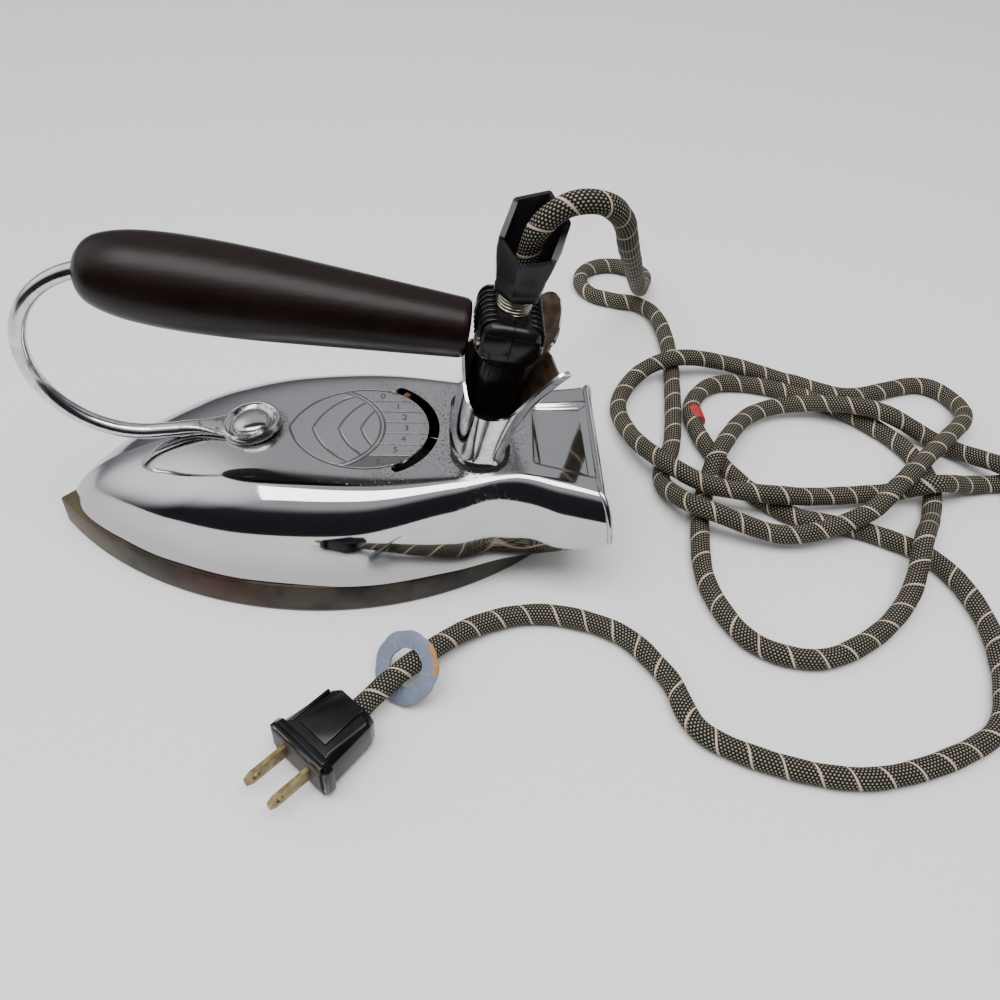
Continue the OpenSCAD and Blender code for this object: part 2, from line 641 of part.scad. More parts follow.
plug_z = 9.6;
plug_at = [28.7, -103.6, plug_z];     // where the cord enters the plug
plug_way = 226;                       // direction of the blades, in degrees from +X
plug_len = 27.5;
plate_w = 25;
blade_gap = 12.7;
module on_plug() translate(plug_at) rotate([0, 0, plug_way]) children();
module plug_body() color("#151414") on_plug() difference() {
    union() {
        intersection() {
            translate([0, 0, -9.5]) linear_extrude(19)
                polygon([[0, -9.5], [3, -11], [24, -13.2], [24, 13.2], [3, 11], [0, 9.5]]);
            rotate([90, 0, 90]) linear_extrude(24)
                polygon([[-11, -9.4], [11, -9.4], [13.2, -6], [13.2, 6], [11, 8.4],
                         [-11, 8.4], [-13.2, 6], [-13.2, -6]]);
        }
        // raised grip panels above and below
        for (s = [-1, 1]) scale([1, 1, s])
            translate([0, 0, 5]) linear_extrude(4.4)
                polygon([[1.5, -6.5], [19, -7.5], [19, 7.5], [1.5, 6.5]]);
        // front flange
        translate([23, 0, 0]) rotate([90, 0, 90]) linear_extrude(plug_len - 23)
            polygon([[-12, -9.5], [12, -9.5], [15, -6.5], [15, 6.5], [12, 9.5],
                     [-12, 9.5], [-15, 6.5], [-15, -6.5]]);
    }
    translate([13, -plate_w / 2, -5.6]) cube([20, plate_w, 11.2]);
}
module plug_plate() color("#4a3428") on_plug() difference() {
    translate([plug_len - 1.5, -plate_w / 2 + 0.1, -5.5]) cube([2, plate_w - 0.2, 11]);
    for (s = [-1, 1]) translate([plug_len - 3, s * blade_gap / 2 - 0.75, -3.2]) cube([6, 1.5, 6.4]);
}
blade_in = 17.5;                      // inner end of the blades, from the cord's entry
blade_out = 45.5;
module plug_blades() color("#9a8448") on_plug()
    for (s = [-1, 1]) translate([0, s * blade_gap / 2 + 0.75, 0]) rotate([90, 0, 0])
        linear_extrude(1.5) difference() {
            polygon([[blade_in, -3.2], [blade_out - 2.5, -3.2], [blade_out, -1.4],
                     [blade_out, 1.4], [blade_out - 2.5, 3.2], [blade_in, 3.2]]);
            translate([blade_out - 4.5, 0]) circle(d = 3.2);
            translate([blade_in + 3, 0]) circle(d = 2.9);
        }
module plug_screws() color("#b0a070") on_plug()
    for (s = [-1, 1]) translate([blade_in + 3, s * blade_gap / 2, 0]) rotate([-90 * s, 0, 0]) {
        translate([0, 0, -2.2]) cylinder(d = 2.9, h = 4);
        translate([0, 0, 0.75]) cylinder(d = 5.6, h = 1.8);
    }

// ---- Node selection ----

soleplate();
mica_lower();
heating_ribbon();
mica_upper();
pressure_plate();
clamp_studs();
clamp_nuts();
shell();
heel_plate();
handle_rod();
handle_screw();
handle_post();
handle_grip();
handle_washer();
handle_nut();
socket_guard();
guard_gasket();
terminal_block();
terminal_pins();
terminal_nuts();
terminal_straps();
indicator_bracket();
bimetal_coil();
indicator_shaft();
indicator_pointer();
connector_front();
connector_rear();
connector_sleeves();
connector_screws();
connector_spring();
cord_hood();
cord();
cord_tape();
fibre_disc();
plug_body();
plug_plate();
plug_blades();
plug_screws();
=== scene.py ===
# %% [markdown]
# # A clothes iron with a braided cord
# The solids of the iron come from the CAD model, which is loaded as a fixed frame: nothing in it
# is moved. Pieces whose look depends on fine shape are drawn again here, on the same spot and at
# the same size, and take the CAD piece's place. Everything is drawn in millimetres and shrunk to
# metres as the very last step of each piece, so the numbers below can be checked with a ruler.

# %% Frame
import functools
import math

import bmesh
import bpy
from mathutils import Matrix, Vector
from mathutils.geometry import tessellate_polygon


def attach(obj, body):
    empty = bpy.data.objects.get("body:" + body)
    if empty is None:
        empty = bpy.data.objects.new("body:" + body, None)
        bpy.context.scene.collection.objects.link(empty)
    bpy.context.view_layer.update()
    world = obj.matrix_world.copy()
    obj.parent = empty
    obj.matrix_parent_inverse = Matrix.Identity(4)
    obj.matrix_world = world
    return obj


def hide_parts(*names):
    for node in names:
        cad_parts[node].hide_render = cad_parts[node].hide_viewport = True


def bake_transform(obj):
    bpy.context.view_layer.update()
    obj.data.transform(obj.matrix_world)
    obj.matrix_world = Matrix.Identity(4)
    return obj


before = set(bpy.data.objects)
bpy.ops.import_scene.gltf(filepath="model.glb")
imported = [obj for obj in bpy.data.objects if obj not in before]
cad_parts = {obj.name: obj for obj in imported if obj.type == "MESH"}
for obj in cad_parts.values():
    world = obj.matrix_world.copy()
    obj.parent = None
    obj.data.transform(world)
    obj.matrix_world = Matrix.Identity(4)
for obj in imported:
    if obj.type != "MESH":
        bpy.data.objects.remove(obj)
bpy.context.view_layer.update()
MM = 0.001

# %% [markdown]
# ## Camera
# The camera comes first, because every later decision is judged through it. It stands about
# 40 cm from the iron, looks down at 45 degrees and leans by three degrees, like a hand-held
# camera. A camera's own axes are right, up and backwards, so a matrix of those three columns
# sets its direction exactly.

# %% Camera
camera_at = Vector((59.76, -297.98, 315.95)) * MM
pitch, yaw, roll = math.radians(44.7), math.radians(3.25), math.radians(2.91)
forward = Vector((math.sin(yaw) * math.cos(pitch), math.cos(yaw) * math.cos(pitch),
                  -math.sin(pitch)))
level_right = Vector((math.cos(yaw), -math.sin(yaw), 0))
level_up = level_right.cross(forward)
right = level_right * math.cos(roll) + level_up * math.sin(roll)
up = level_up * math.cos(roll) - level_right * math.sin(roll)
camera_data = bpy.data.cameras.new("camera")
camera_data.lens = 34.65
camera_data.shift_x = 0.0171
camera_data.shift_y = -0.0077
camera = bpy.data.objects.new("camera", camera_data)
camera.matrix_world = Matrix.Translation(camera_at) @ Matrix(
    (right, up, -forward)).transposed().to_4x4()
bpy.context.scene.collection.objects.link(camera)
bpy.context.scene.camera = camera
print("camera at", tuple(round(c, 3) for c in camera_at))

# %% [markdown]
# ## Drawing tools
# A few small functions do most of the work. `skin` lays quads between rings of points, like the
# staves between the hoops of a barrel; `sweep` drags an outline along a path; `lathe` turns a
# profile. `piece` finishes a mesh: it points the normals outwards, shades smooth except at
# sharp corners, shrinks the millimetres to metres and hangs the object on its CAD body.

# %% Drawing tools
TINY = 1e-4        # radius that stands for a point on the lathe's axis
MERGE = 0.005      # vertices nearer than this become one


def skin(bm, rings, closed=True):
    """Quads between successive rings of points; returns the rings as vertices."""
    rows = [[bm.verts.new(p) for p in ring] for ring in rings]
    count = len(rings[0])
    for a, b in zip(rows, rows[1:]):
        for i in range(count if closed else count - 1):
            j = (i + 1) % count
            bm.faces.new((a[i], a[j], b[j], b[i]))
    return rows


def capped(bm, rings):
    """The same, with a flat face across the first ring and the last."""
    rows = skin(bm, rings)
    for end in (rows[0], rows[-1]):
        bm.faces.new(end)
    return rows


def circle(radius, sides):
    return [(radius * math.cos(math.tau * i / sides), radius * math.sin(math.tau * i / sides))
            for i in range(sides)]


def arc(centre, radius, start, end, steps):
    """Points of an arc in its own plane, from one angle in degrees to another."""
    angles = [math.radians(start + (end - start) * k / steps) for k in range(steps + 1)]
    return [(centre[0] + radius * math.cos(a), centre[1] + radius * math.sin(a)) for a in angles]


def lathe(bm, profile, steps, place):
    """Turns a profile of (radius, height) pairs about the Z axis of place."""
    rows = skin(bm, [[place @ Vector((x, y, z)) for x, y in circle(max(r, TINY), steps)]
                     for r, z in profile])
    for end, (r, z) in ((rows[0], profile[0]), (rows[-1], profile[-1])):
        if r > 0:
            bm.faces.new(end)


def spline(points, steps):
    """A smooth Catmull-Rom curve through the points, with steps pieces in each span."""
    p = [Vector(q) for q in points]
    out = []
    for i in range(len(p) - 1):
        a, b, c, d = p[max(0, i - 1)], p[i], p[i + 1], p[min(len(p) - 1, i + 2)]
        for k in range(steps):
            t = k / steps
            out.append(0.5 * (2 * b + (c - a) * t + (2 * a - 5 * b + 4 * c - d) * t * t
                              + (3 * b - 3 * c + d - a) * t ** 3))
    return out + [p[-1]]


def evenly(points, step):
    """The same line with its points a fixed step apart."""
    lengths = [0.0]
    for a, b in zip(points, points[1:]):
        lengths.append(lengths[-1] + (b - a).length)
    count = max(2, round(lengths[-1] / step))
    out, i = [], 0
    for k in range(count + 1):
        want = lengths[-1] * k / count
        while i < len(points) - 2 and lengths[i + 1] < want:
            i += 1
        share = (want - lengths[i]) / max(lengths[i + 1] - lengths[i], 1e-9)
        out.append(points[i].lerp(points[i + 1], share))
    return out


def wrap_uv(bm, rows, down):
    """Texture coordinates: u goes once round every row, and v is down(k) on row number k."""
    layer = bm.loops.layers.uv.new("UVMap")
    count = len(rows[0])
    place = {v: (i, k) for k, row in enumerate(rows) for i, v in enumerate(row)}
    for face in bm.faces:
        corner = [place[loop.vert] for loop in face.loops]
        wraps = {i for i, k in corner} == {0, count - 1}
        for loop, (i, k) in zip(face.loops, corner):
            loop[layer].uv = ((count if wraps and i == 0 else i) / count, down(k))


def sweep(bm, path, outline, uv_length=None):
    """Drags an outline of (across, up) pairs along a path. outline may be a function of the
    point's number. Each frame is the last one turned just enough to stay square to the path.
    With uv_length, v advances by one for each such length of the path."""
    path = [Vector(p) for p in path]
    rings, normal, travelled, runs = [], None, 0.0, []
    for i, p in enumerate(path):
        ahead = (path[min(i + 1, len(path) - 1)] - path[max(i - 1, 0)]).normalized()
        if normal is None:
            start = Vector((0, 0, 1)) if abs(ahead.z) < 0.9 else Vector((0, 1, 0))
            normal = start - ahead * start.dot(ahead)
        normal = (normal - ahead * normal.dot(ahead)).normalized()
        across = ahead.cross(normal)
        shape = outline(i) if callable(outline) else outline
        rings.append([p + across * a + normal * b for a, b in shape])
        if i:
            travelled += (p - path[i - 1]).length
        runs.append(travelled)
    rows = skin(bm, rings)
    if uv_length:
        wrap_uv(bm, rows, lambda k: runs[k] / uv_length)
    for end in (rows[0], rows[-1]):
        bm.faces.new(end)


def rounded(width, length, radius, corner):
    """Outline of a rectangle with round corners, as (x, y) pairs."""
    out = []
    for turn, (sx, sy) in enumerate(((1, 1), (-1, 1), (-1, -1), (1, -1))):
        for k in range(corner + 1):
            a = math.radians(90 * turn + 90 * k / corner)
            out.append((sx * (width / 2 - radius) + radius * math.cos(a),
                        sy * (length / 2 - radius) + radius * math.sin(a)))
    return out


def soften(bm, parts, bevel):
    """Breaks every edge of the given vertices or faces with a small round."""
    edges = {e for part in parts
             for e in (part.link_edges if isinstance(part, bmesh.types.BMVert) else part.edges)}
    bmesh.ops.bevel(bm, geom=list(edges), offset=bevel, segments=2, profile=0.5, affect="EDGES",
                    material=-1)


def box(bm, corner, opposite, bevel):
    """A block between two opposite corners, with softened edges."""
    size = [abs(a - b) for a, b in zip(corner, opposite)]
    middle = (Vector(corner) + Vector(opposite)) / 2
    made = bmesh.ops.create_cube(bm, size=1, matrix=Matrix.Translation(middle)
                                 @ Matrix.Diagonal((*size, 1)))
    soften(bm, made["verts"], bevel)


def loft(bm, sections, bevel):
    """A solid through rings of points, with softened edges."""
    before = set(bm.faces)
    capped(bm, sections)
    soften(bm, set(bm.faces) - before, bevel)


def slant_cut(bm, point, normal):
    """Cuts away everything on the side of a plane that its normal points to."""
    return bmesh.ops.bisect_plane(bm, geom=bm.verts[:] + bm.edges[:] + bm.faces[:], dist=TINY,
                                  plane_co=point, plane_no=normal, clear_outer=True)


def piece(name, bm, material, body=None, sharp=40, merge=MERGE, replaces=()):
    """Turns a drawing in millimetres into a finished object in metres."""
    if merge:
        bmesh.ops.remove_doubles(bm, verts=bm.verts, dist=merge)
    bmesh.ops.recalc_face_normals(bm, faces=bm.faces)
    limit = math.radians(sharp)
    for face in bm.faces:
        face.smooth = True
    for edge in bm.edges:
        edge.smooth = len(edge.link_faces) != 2 or edge.calc_face_angle(0) < limit
    bmesh.ops.scale(bm, vec=(MM, MM, MM), verts=bm.verts)
    mesh = bpy.data.meshes.new(name)
    bm.to_mesh(mesh)
    bm.free()
    for m in material if isinstance(material, list) else [material]:
        mesh.materials.append(m)
    obj = bpy.data.objects.new(name, mesh)
    bpy.context.scene.collection.objects.link(obj)
    if body:
        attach(obj, body)
    if replaces:
        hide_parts(*replaces)
    print(name, len(mesh.polygons), "faces")
    return obj


def turned(x, y, z, axis, degrees):
    return Matrix.Translation((x, y, z)) @ Matrix.Rotation(math.radians(degrees), 4, axis)


LEANING = turned(74, 0, 57, "Y", 10)          # pins, guard and appliance plug
EYE = turned(-18, 0, 56.4, "Y", -7.5)         # foot of the handle rod
GRIP = turned(-63, 0, 128.7, "Y", 99.6)       # +Z runs along the grip towards the heel
PLUG = turned(28.7, -103.6, 9.6, "Z", 226)    # +X runs towards the blades
print("drawing tools ready")

# %% [markdown]
# ## Materials
# Every finish is worked out from where a point lies, with no pictures. `Wire` makes the maths
# readable: adding two wires adds a maths node. `Graph` makes the nodes of a material or of the
# sky. `Paint` holds one material and the ingredients used again and again: position in
# millimetres, noise and bumps.

# %% Paint kit
class Wire:
    """A value inside a material, on which ordinary sums can be written."""

    def __init__(self, tree, socket):
        self.tree, self.socket = tree, socket

    def math(self, kind, *others):
        node = self.tree.nodes.new("ShaderNodeMath")
        node.operation = kind
        for slot, value in zip(node.inputs, (self, *others)):
            if isinstance(value, Wire):
                self.tree.links.new(value.socket, slot)
            else:
                slot.default_value = value
        return Wire(self.tree, node.outputs[0])

    def __add__(self, other): return self.math("ADD", other)
    def __sub__(self, other): return self.math("SUBTRACT", other)
    def __mul__(self, other): return self.math("MULTIPLY", other)
    def __truediv__(self, other): return self.math("DIVIDE", other)
    def __abs__(self): return self.math("ABSOLUTE")
    def high(self, other): return self.math("MAXIMUM", other)
    def root(self): return self.math("SQRT")
    def fract(self): return self.math("FRACT")
    def floor(self): return self.math("FLOOR")
    def flip(self): return self * -1.0 + 1.0

    def step(self, start, end):
        """0 before start and 1 after end, with a soft change between; start may be the larger."""
        node = self.tree.nodes.new("ShaderNodeMapRange")
        node.interpolation_type = "SMOOTHSTEP"
        low_first = start < end
        node.inputs["From Min"].default_value = min(start, end)
        node.inputs["From Max"].default_value = max(start, end)
        node.inputs["To Min"].default_value = 0.0 if low_first else 1.0
        node.inputs["To Max"].default_value = 1.0 if low_first else 0.0
        self.tree.links.new(self.socket, node.inputs["Value"])
        return Wire(self.tree, node.outputs["Result"])


class Graph:
    """The nodes of one material, or of the sky."""

    def __init__(self, tree):
        self.tree = tree

    def node(self, kind, output=0, inputs=()):
        made = self.tree.nodes.new(kind)
        for key, value in dict(inputs).items():
            if isinstance(value, Wire):
                self.tree.links.new(value.socket, made.inputs[key])
            else:
                made.inputs[key].default_value = value
        return Wire(self.tree, made.outputs[output])

    def axes(self, space, names):
        """The parts of a coordinate: Object, UV, or Generated for the sky's direction."""
        where = self.node("ShaderNodeTexCoord", space)
        return [self.node("ShaderNodeSeparateXYZ", axis, {"Vector": where}) for axis in names]

    def mix(self, share, a, b):
        """Colour a where share is 0 and colour b where it is 1."""
        made = self.tree.nodes.new("ShaderNodeMix")
        made.data_type = "RGBA"
        for index, value in ((0, share), (6, a), (7, b)):
            if isinstance(value, Wire):
                self.tree.links.new(value.socket, made.inputs[index])
            elif index == 0:
                made.inputs[0].default_value = value
            else:
                made.inputs[index].default_value = (*value, 1)
        return Wire(self.tree, made.outputs[2])


class Paint(Graph):
    """One material, built around the standard shader."""

    def __init__(self, name, color, roughness, metallic=0.0, **constants):
        self.material = bpy.data.materials.new(name)
        self.material.use_nodes = True
        super().__init__(self.material.node_tree)
        self.shader = self.tree.nodes["Principled BSDF"]
        self.shader.inputs["Base Color"].default_value = (*color, 1)
        self.shader.inputs["Roughness"].default_value = roughness
        self.shader.inputs["Metallic"].default_value = metallic
        for key, value in constants.items():
            self.shader.inputs[key.replace("_", " ")].default_value = value
        self.material.diffuse_color = (*color, 1)

    def place(self):
        """Position in the object's own space, as x, y and z in millimetres."""
        return [metres * 1000.0 for metres in self.axes("Object", "XYZ")]

    def noise(self, size, detail, stretch=(1, 1, 1), rough=0.5):
        """Clouds about size millimetres across, from 0 to 1, longer along a stretched axis."""
        where = self.node("ShaderNodeTexCoord", "Object")
        scaled = self.node("ShaderNodeMapping", 0, {
            "Vector": where, "Scale": tuple(1000.0 / size / s for s in stretch)})
        return self.node("ShaderNodeTexNoise", 0, {
            "Vector": scaled, "Scale": 1.0, "Detail": detail, "Roughness": rough})

    def feed(self, **wires):
        for key, wire in wires.items():
            self.tree.links.new(wire.socket, self.shader.inputs[key.replace("_", " ")])

    def bump(self, height, depth):
        """Raises the surface by up to depth millimetres where height is 1."""
        self.feed(Normal=self.node("ShaderNodeBump", 0, {
            "Height": height, "Distance": depth * MM, "Strength": 1.0}))


def distance(x, y, cx, cy):
    """Distance in plan from a point."""
    dx, dy = x - cx, y - cy
    return (dx * dx + dy * dy).root()


def line(value, width):
    """1 on a line where value is zero, falling to 0 half a width away."""
    return abs(value).step(width * 0.5, width * 0.15)


print("paint kit ready")

# %% [markdown]
# ## The cord
# A cord follows a route: a list of points along its middle, chosen so that it always passes
# clear over or under itself. A smooth curve runs through them and a circle is swept along it.
# The cloth cover is never quite round, so the radius swells and shrinks a little. The texture
# coordinates wrap once round the cord and advance by one for each diameter of length, which
# lets the braid follow every bend.

# %% Cord route
LIE = 4.3          # height of the middle of the cord where it lies on the table
LIFT = 0.05        # least height above that, so that a swell stays clear of the table
CORD_R = 4.2
RISE = [(85, 0, 120), (88, 0, 136), (91, -3, 150), (100, -4, 159.5), (112, -1, 159),
        (122, 10, 147), (131, 34, 121), (160, 134, 41), (171, 173, 16)]
CURL = [(176.5, 195, 9), (171.5, 208.5, 5.5), (158, 214, LIE), (144.5, 208.5, LIE),
        (139, 195, LIE), (144.5, 182, LIE), (158, 176, LIE), (171, 172, LIE), (180, 157, LIE)]
FIRST_LOOP = [(181, 120, LIE), (172, 56, LIE), (162, 27, LIE), (167, 8, 10.5), (179, -4, 14),
              (212, -12, 8), (246, -5, 13.5), (267, 11, 18.5), (286, 30, 17), (307, 51, 13.7),
              (322, 69, 9), (325, 88, LIE), (310, 101, LIE), (270, 91, LIE), (240, 103, LIE),
              (208, 113, 8), (181, 109, 13.6), (161, 102, 8.5), (148, 81, LIE), (151, 51, 9),
              (164, 26.5, 14)]
OUTER_LOOP = [(182, 13, 13.5), (211, 7, 14), (235, 12, 8.5), (269, 17.5, 6.5), (287, 15.5, 14),
              (311, 24, 5.5), (343, 28, LIE), (366, 30, LIE), (382, 11, LIE), (365, -8, LIE),
              (343, 1, 9), (328, 23, 14.6), (307, 53, LIE), (275, 67.5, 14.4), (242, 79, 8.5),
              (213, 70, 8), (190, 37, 13.8)]
LOWER_LOOP = [(181, 18, LIE), (174, -8, LIE), (172, -39, LIE), (184, -67, LIE), (209, -76, LIE),
              (235, -65, LIE), (256, -45, 7), (269, -19, 13.6), (284, 5, LIE), (291, 30, LIE),
              (283, 57, LIE), (258, 83, LIE), (226, 98, LIE), (200, 98, 4.8)]
LAST_RUN = [(185, 78, 4.8), (188, 48, 4.8), (203, 19, LIE), (220, 3, LIE), (250, -6, LIE),
            (276, -24, LIE), (285, -55, LIE), (279, -90, LIE), (262, -113, LIE), (211, -128, LIE),
            (160, -112, LIE), (147, -84, LIE), (130, -63, LIE), (100, -54, LIE), (72, -62, 6),
            (46, -85, 10.6), (28.7, -103.6, 9.6)]
curve = evenly(spline(RISE + CURL + FIRST_LOOP + OUTER_LOOP + LOWER_LOOP + LAST_RUN, 16), 2.0)
for p in curve:
    p.z = max(p.z, LIE + LIFT)
cord_length = sum((b - a).length for a, b in zip(curve, curve[1:]))
print("cord:", len(curve), "rings,", round(cord_length), "mm")

# %% [markdown]
# ## Braid and other finishes
# The braid is a grid of pale stitches on near-black yarn, every other row shifted by half a
# stitch, with one pale tracer thread winding round it. The height of the bump follows the same
# grid, so each stitch stands proud of the dark gaps.

# %% Braid
braid = Paint("braid", (0.02, 0.018, 0.015), 0.8, Specular_IOR_Level=0.15)
around, along_cord = braid.axes("UV", "XY")
along_cord = along_cord * (2 * CORD_R)
ROWS, STITCH, WIND = 22.0, 1.45, 12.3     # stitches round, their length, the tracer's pitch
row = around * ROWS
stitch = along_cord / STITCH + row.floor() * 0.5
across_row, across_stitch = abs(row.fract() - 0.5), abs(stitch.fract() - 0.5)
dot = across_row.step(0.38, 0.16) * across_stitch.step(0.33, 0.12)
wear = braid.noise(9, 3)
winding = abs((around + along_cord / WIND).fract() - 0.5)
tracer = winding.step(0.050, 0.026)
pale = braid.mix(wear, (0.40, 0.37, 0.28), (0.20, 0.18, 0.13))
yarn = braid.mix(dot, (0.008, 0.007, 0.006), pale)
braid.feed(Base_Color=braid.mix(tracer, yarn, (0.54, 0.42, 0.31)))
braid.bump((dot * 0.6 + 0.2).high(tracer), 0.35)
print("braid ready")

# %% [markdown]
# The cord is one mesh swept along the route, and it takes the place of the CAD cord.

# %% Cord
def cord_outline(i):
    swell = 1 + 0.018 * math.sin(i * 0.83) + 0.014 * math.sin(i * 0.37 + 1)
    return circle(CORD_R * swell, 24)


bm = bmesh.new()
sweep(bm, curve, cord_outline, uv_length=2 * CORD_R)
cord = piece("cord_braid", bm, braid.material, sharp=60, merge=0, replaces=["cord"])
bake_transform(cord)

# %% [markdown]
# ## Plain finishes
# A finish is mostly a colour, a roughness and a metallic value. Clouds of noise then break up
# the colour and the shine, because an even surface looks like plastic.

# %% Plain finishes
def worn(name, dark, light, roughness, metallic=0.0, size=6, spread=0.12, depth=0.0, **constants):
    """A finish that drifts between two colours and two values of shine."""
    made = Paint(name, light, roughness, metallic, **constants)
    cloud = made.noise(size, 4)
    made.feed(Base_Color=made.mix(cloud.step(0.3, 0.7), dark, light),
              Roughness=made.noise(size * 0.7, 3) * (2 * spread) + (roughness - spread))
    if depth:
        made.bump(made.noise(size * 0.12, 3), depth)
    return made.material


phenolic = worn("black_phenolic", (0.003, 0.003, 0.003), (0.007, 0.007, 0.008), 0.24, size=9,
                spread=0.08, Specular_IOR_Level=0.28)
rubber = worn("hood_rubber", (0.006, 0.006, 0.007), (0.014, 0.014, 0.015), 0.36, size=14,
              spread=0.08, Specular_IOR_Level=0.35)
spring_wire = worn("spring_metal", (0.34, 0.31, 0.24), (0.62, 0.58, 0.47), 0.30, 1.0, size=3)
tape_red = worn("red_tape", (0.30, 0.015, 0.02), (0.42, 0.03, 0.03), 0.6, size=3)
rod_chrome = worn("rod_chrome", (0.52, 0.52, 0.53), (0.70, 0.70, 0.71), 0.16, 1.0, size=5,
                  spread=0.05)
eye_paint = Paint("eye_metal", (0.6, 0.6, 0.6), 0.2, 1.0)
brown = eye_paint.noise(2.6, 4).step(0.56, 0.70)
eye_paint.feed(Base_Color=eye_paint.mix(brown * 0.8, (0.60, 0.60, 0.60), (0.16, 0.11, 0.07)),
               Roughness=brown * 0.3 + 0.17)
eye_metal = eye_paint.material
plain_steel = worn("plain_steel", (0.30, 0.29, 0.28), (0.48, 0.47, 0.45), 0.35, 1.0)
old_brass = worn("old_brass", (0.30, 0.22, 0.10), (0.52, 0.42, 0.22), 0.38, 1.0, size=4)
blade_brass = worn("blade_brass", (0.15, 0.105, 0.045), (0.34, 0.26, 0.12), 0.42, 0.85, size=3.5,
                   depth=0.05)
plate_fibre = worn("plate_fibre", (0.030, 0.024, 0.020), (0.075, 0.055, 0.042), 0.55, size=4,
                   depth=0.05)
guard_inside = worn("guard_inside", (0.035, 0.022, 0.014), (0.12, 0.075, 0.045), 0.55, 0.4, size=5)
gasket_black = worn("gasket_fibre", (0.012, 0.011, 0.010), (0.03, 0.028, 0.025), 0.6, size=4)
ceramic = worn("ceramic", (0.55, 0.50, 0.42), (0.70, 0.66, 0.58), 0.5, size=8)
mica = worn("mica", (0.45, 0.36, 0.22), (0.60, 0.50, 0.33), 0.3, size=12)
element_alloy = worn("element_alloy", (0.30, 0.29, 0.27), (0.45, 0.43, 0.40), 0.4, 1.0)
plate_iron = worn("plate_iron", (0.09, 0.08, 0.07), (0.16, 0.14, 0.12), 0.7, 0.6, size=7, depth=0.1)
terminal_metal = worn("terminal_metal", (0.50, 0.47, 0.38), (0.66, 0.62, 0.52), 0.3, 1.0)
bimetal = worn("bimetal", (0.42, 0.30, 0.16), (0.58, 0.44, 0.26), 0.35, 1.0)
pointer_metal = worn("pointer_metal", (0.16, 0.07, 0.035), (0.28, 0.12, 0.06), 0.5, 0.4)
heel_tin = worn("heel_tin", (0.40, 0.40, 0.40), (0.55, 0.55, 0.55), 0.35, 1.0)
print("plain finishes ready")

# %% [markdown]
# The soleplate was ground flat and has been heated for years: olive and tan at the nose, dark
# brown along the sides with one reddish patch, and brighter metal on the face that irons.

# %% Soleplate finish
sole_paint = Paint("sole_metal", (0.12, 0.10, 0.07), 0.4, 0.1, Specular_IOR_Level=0.18)
x, y, z = sole_paint.place()
cloud = sole_paint.noise(16, 5)
streak = sole_paint.noise(3, 4, stretch=(5, 5, 1))
side = sole_paint.mix(cloud.step(0.35, 0.65), (0.014, 0.011, 0.009), (0.050, 0.040, 0.030))
side = sole_paint.mix(x.step(-62, -98) * (cloud * 0.5 + 0.5), side, (0.095, 0.075, 0.042))
side = sole_paint.mix(distance(x, z * 2.0, -30, 14).step(30, 6) * 0.6, side, (0.060, 0.018, 0.011))
side = sole_paint.mix(x.step(60, 95) * 0.6, side, (0.060, 0.052, 0.040))
rim = z.step(1.6, 0.7)
side = sole_paint.mix(rim * 0.5, side, (0.20, 0.18, 0.15))
side = sole_paint.mix(z.step(0.3, 0.1), side, (0.45, 0.43, 0.40))
sole_paint.feed(Base_Color=side, Roughness=streak * 0.22 + 0.34,
                Metallic=z.step(0.6, 0.1) * 0.7 + 0.1)
sole_paint.bump(streak, 0.08)
print("soleplate finish ready")

# %% [markdown]
# The grip is turned wood under a brown-black lacquer. Fine grain runs along it, and broad soft
# patches change its colour and its shine.

# %% Grip finish
grip_paint = Paint("grip_wood", (0.01, 0.004, 0.003), 0.28, Specular_IOR_Level=0.22)
grain = grip_paint.noise(1.6, 4, stretch=(14, 1, 1))
blotch = grip_paint.noise(24, 3)
grip_paint.feed(Base_Color=grip_paint.mix(grain * 0.5 + blotch * 0.5, (0.002, 0.001, 0.001),
                                          (0.014, 0.006, 0.0045)),
                Roughness=blotch * 0.2 + grain * 0.1 + 0.20)
grip_paint.bump(grain, 0.05)
print("grip finish ready")

# %% [markdown]
# ## The dial's engraving
# The panel carries a leaf outline with nested chevrons, a curved divider, and seven rows for
# the heat settings. The lines are pressed into the metal, so they are drawn as the height of a
# bump and darkened by old polish. All of them are distances from circles in plan.

# %% Shell finish
LEAF_X, LEAF_Y, LEAF_R = 28, -8, 32.3                # each side of the leaf is one arc
DIVIDER_X, DIVIDER_R, DIVIDER_IN = 10.5, 24.9, 23.2  # a double line, from the leaf to the rows
SLOT_X, SLOT_R, SLOT_HALF, SLOT_REACH = 28.5, 27, 2.2, 62   # the slot reaches 62 degrees each way
ROWS_END = 24.4                                      # radius at which the rows stop
GUARD_X, GUARD_FOOT_Z = 74, 59.1                     # the guard's foot


def highest(wires):
    return functools.reduce(Wire.high, wires)


chrome = Paint("shell_chrome", (0.62, 0.62, 0.63), 0.12, 1.0)
x, y, z = chrome.place()
side_y = abs(y)
leaf = distance(x, side_y, LEAF_X, LEAF_Y)
divider = distance(x, y, DIVIDER_X, 0)
slot_ring = distance(x, y, SLOT_X, 0)
on_top = z.step(56.2, 56.7)
outline = line(leaf - LEAF_R, 1.1) * x.step(40, 39)
divide = line(divider - DIVIDER_R, 1.0).high(line(divider - DIVIDER_IN, 0.8))
divide = divide * leaf.step(32.4, 31.9) * x.step(10, 12)
chevrons = highest(line(distance(x, side_y, LEAF_X + shift, LEAF_Y) - LEAF_R, 1.3)
                   for shift in (9.5, 20.0, 29.0))
chevrons = chevrons * divider.step(DIVIDER_IN, 22.6) * leaf.step(32.0, 31.6)
rows = highest(line(side_y - level_y, 0.7) for level_y in (3.4, 10.1, 16.8))
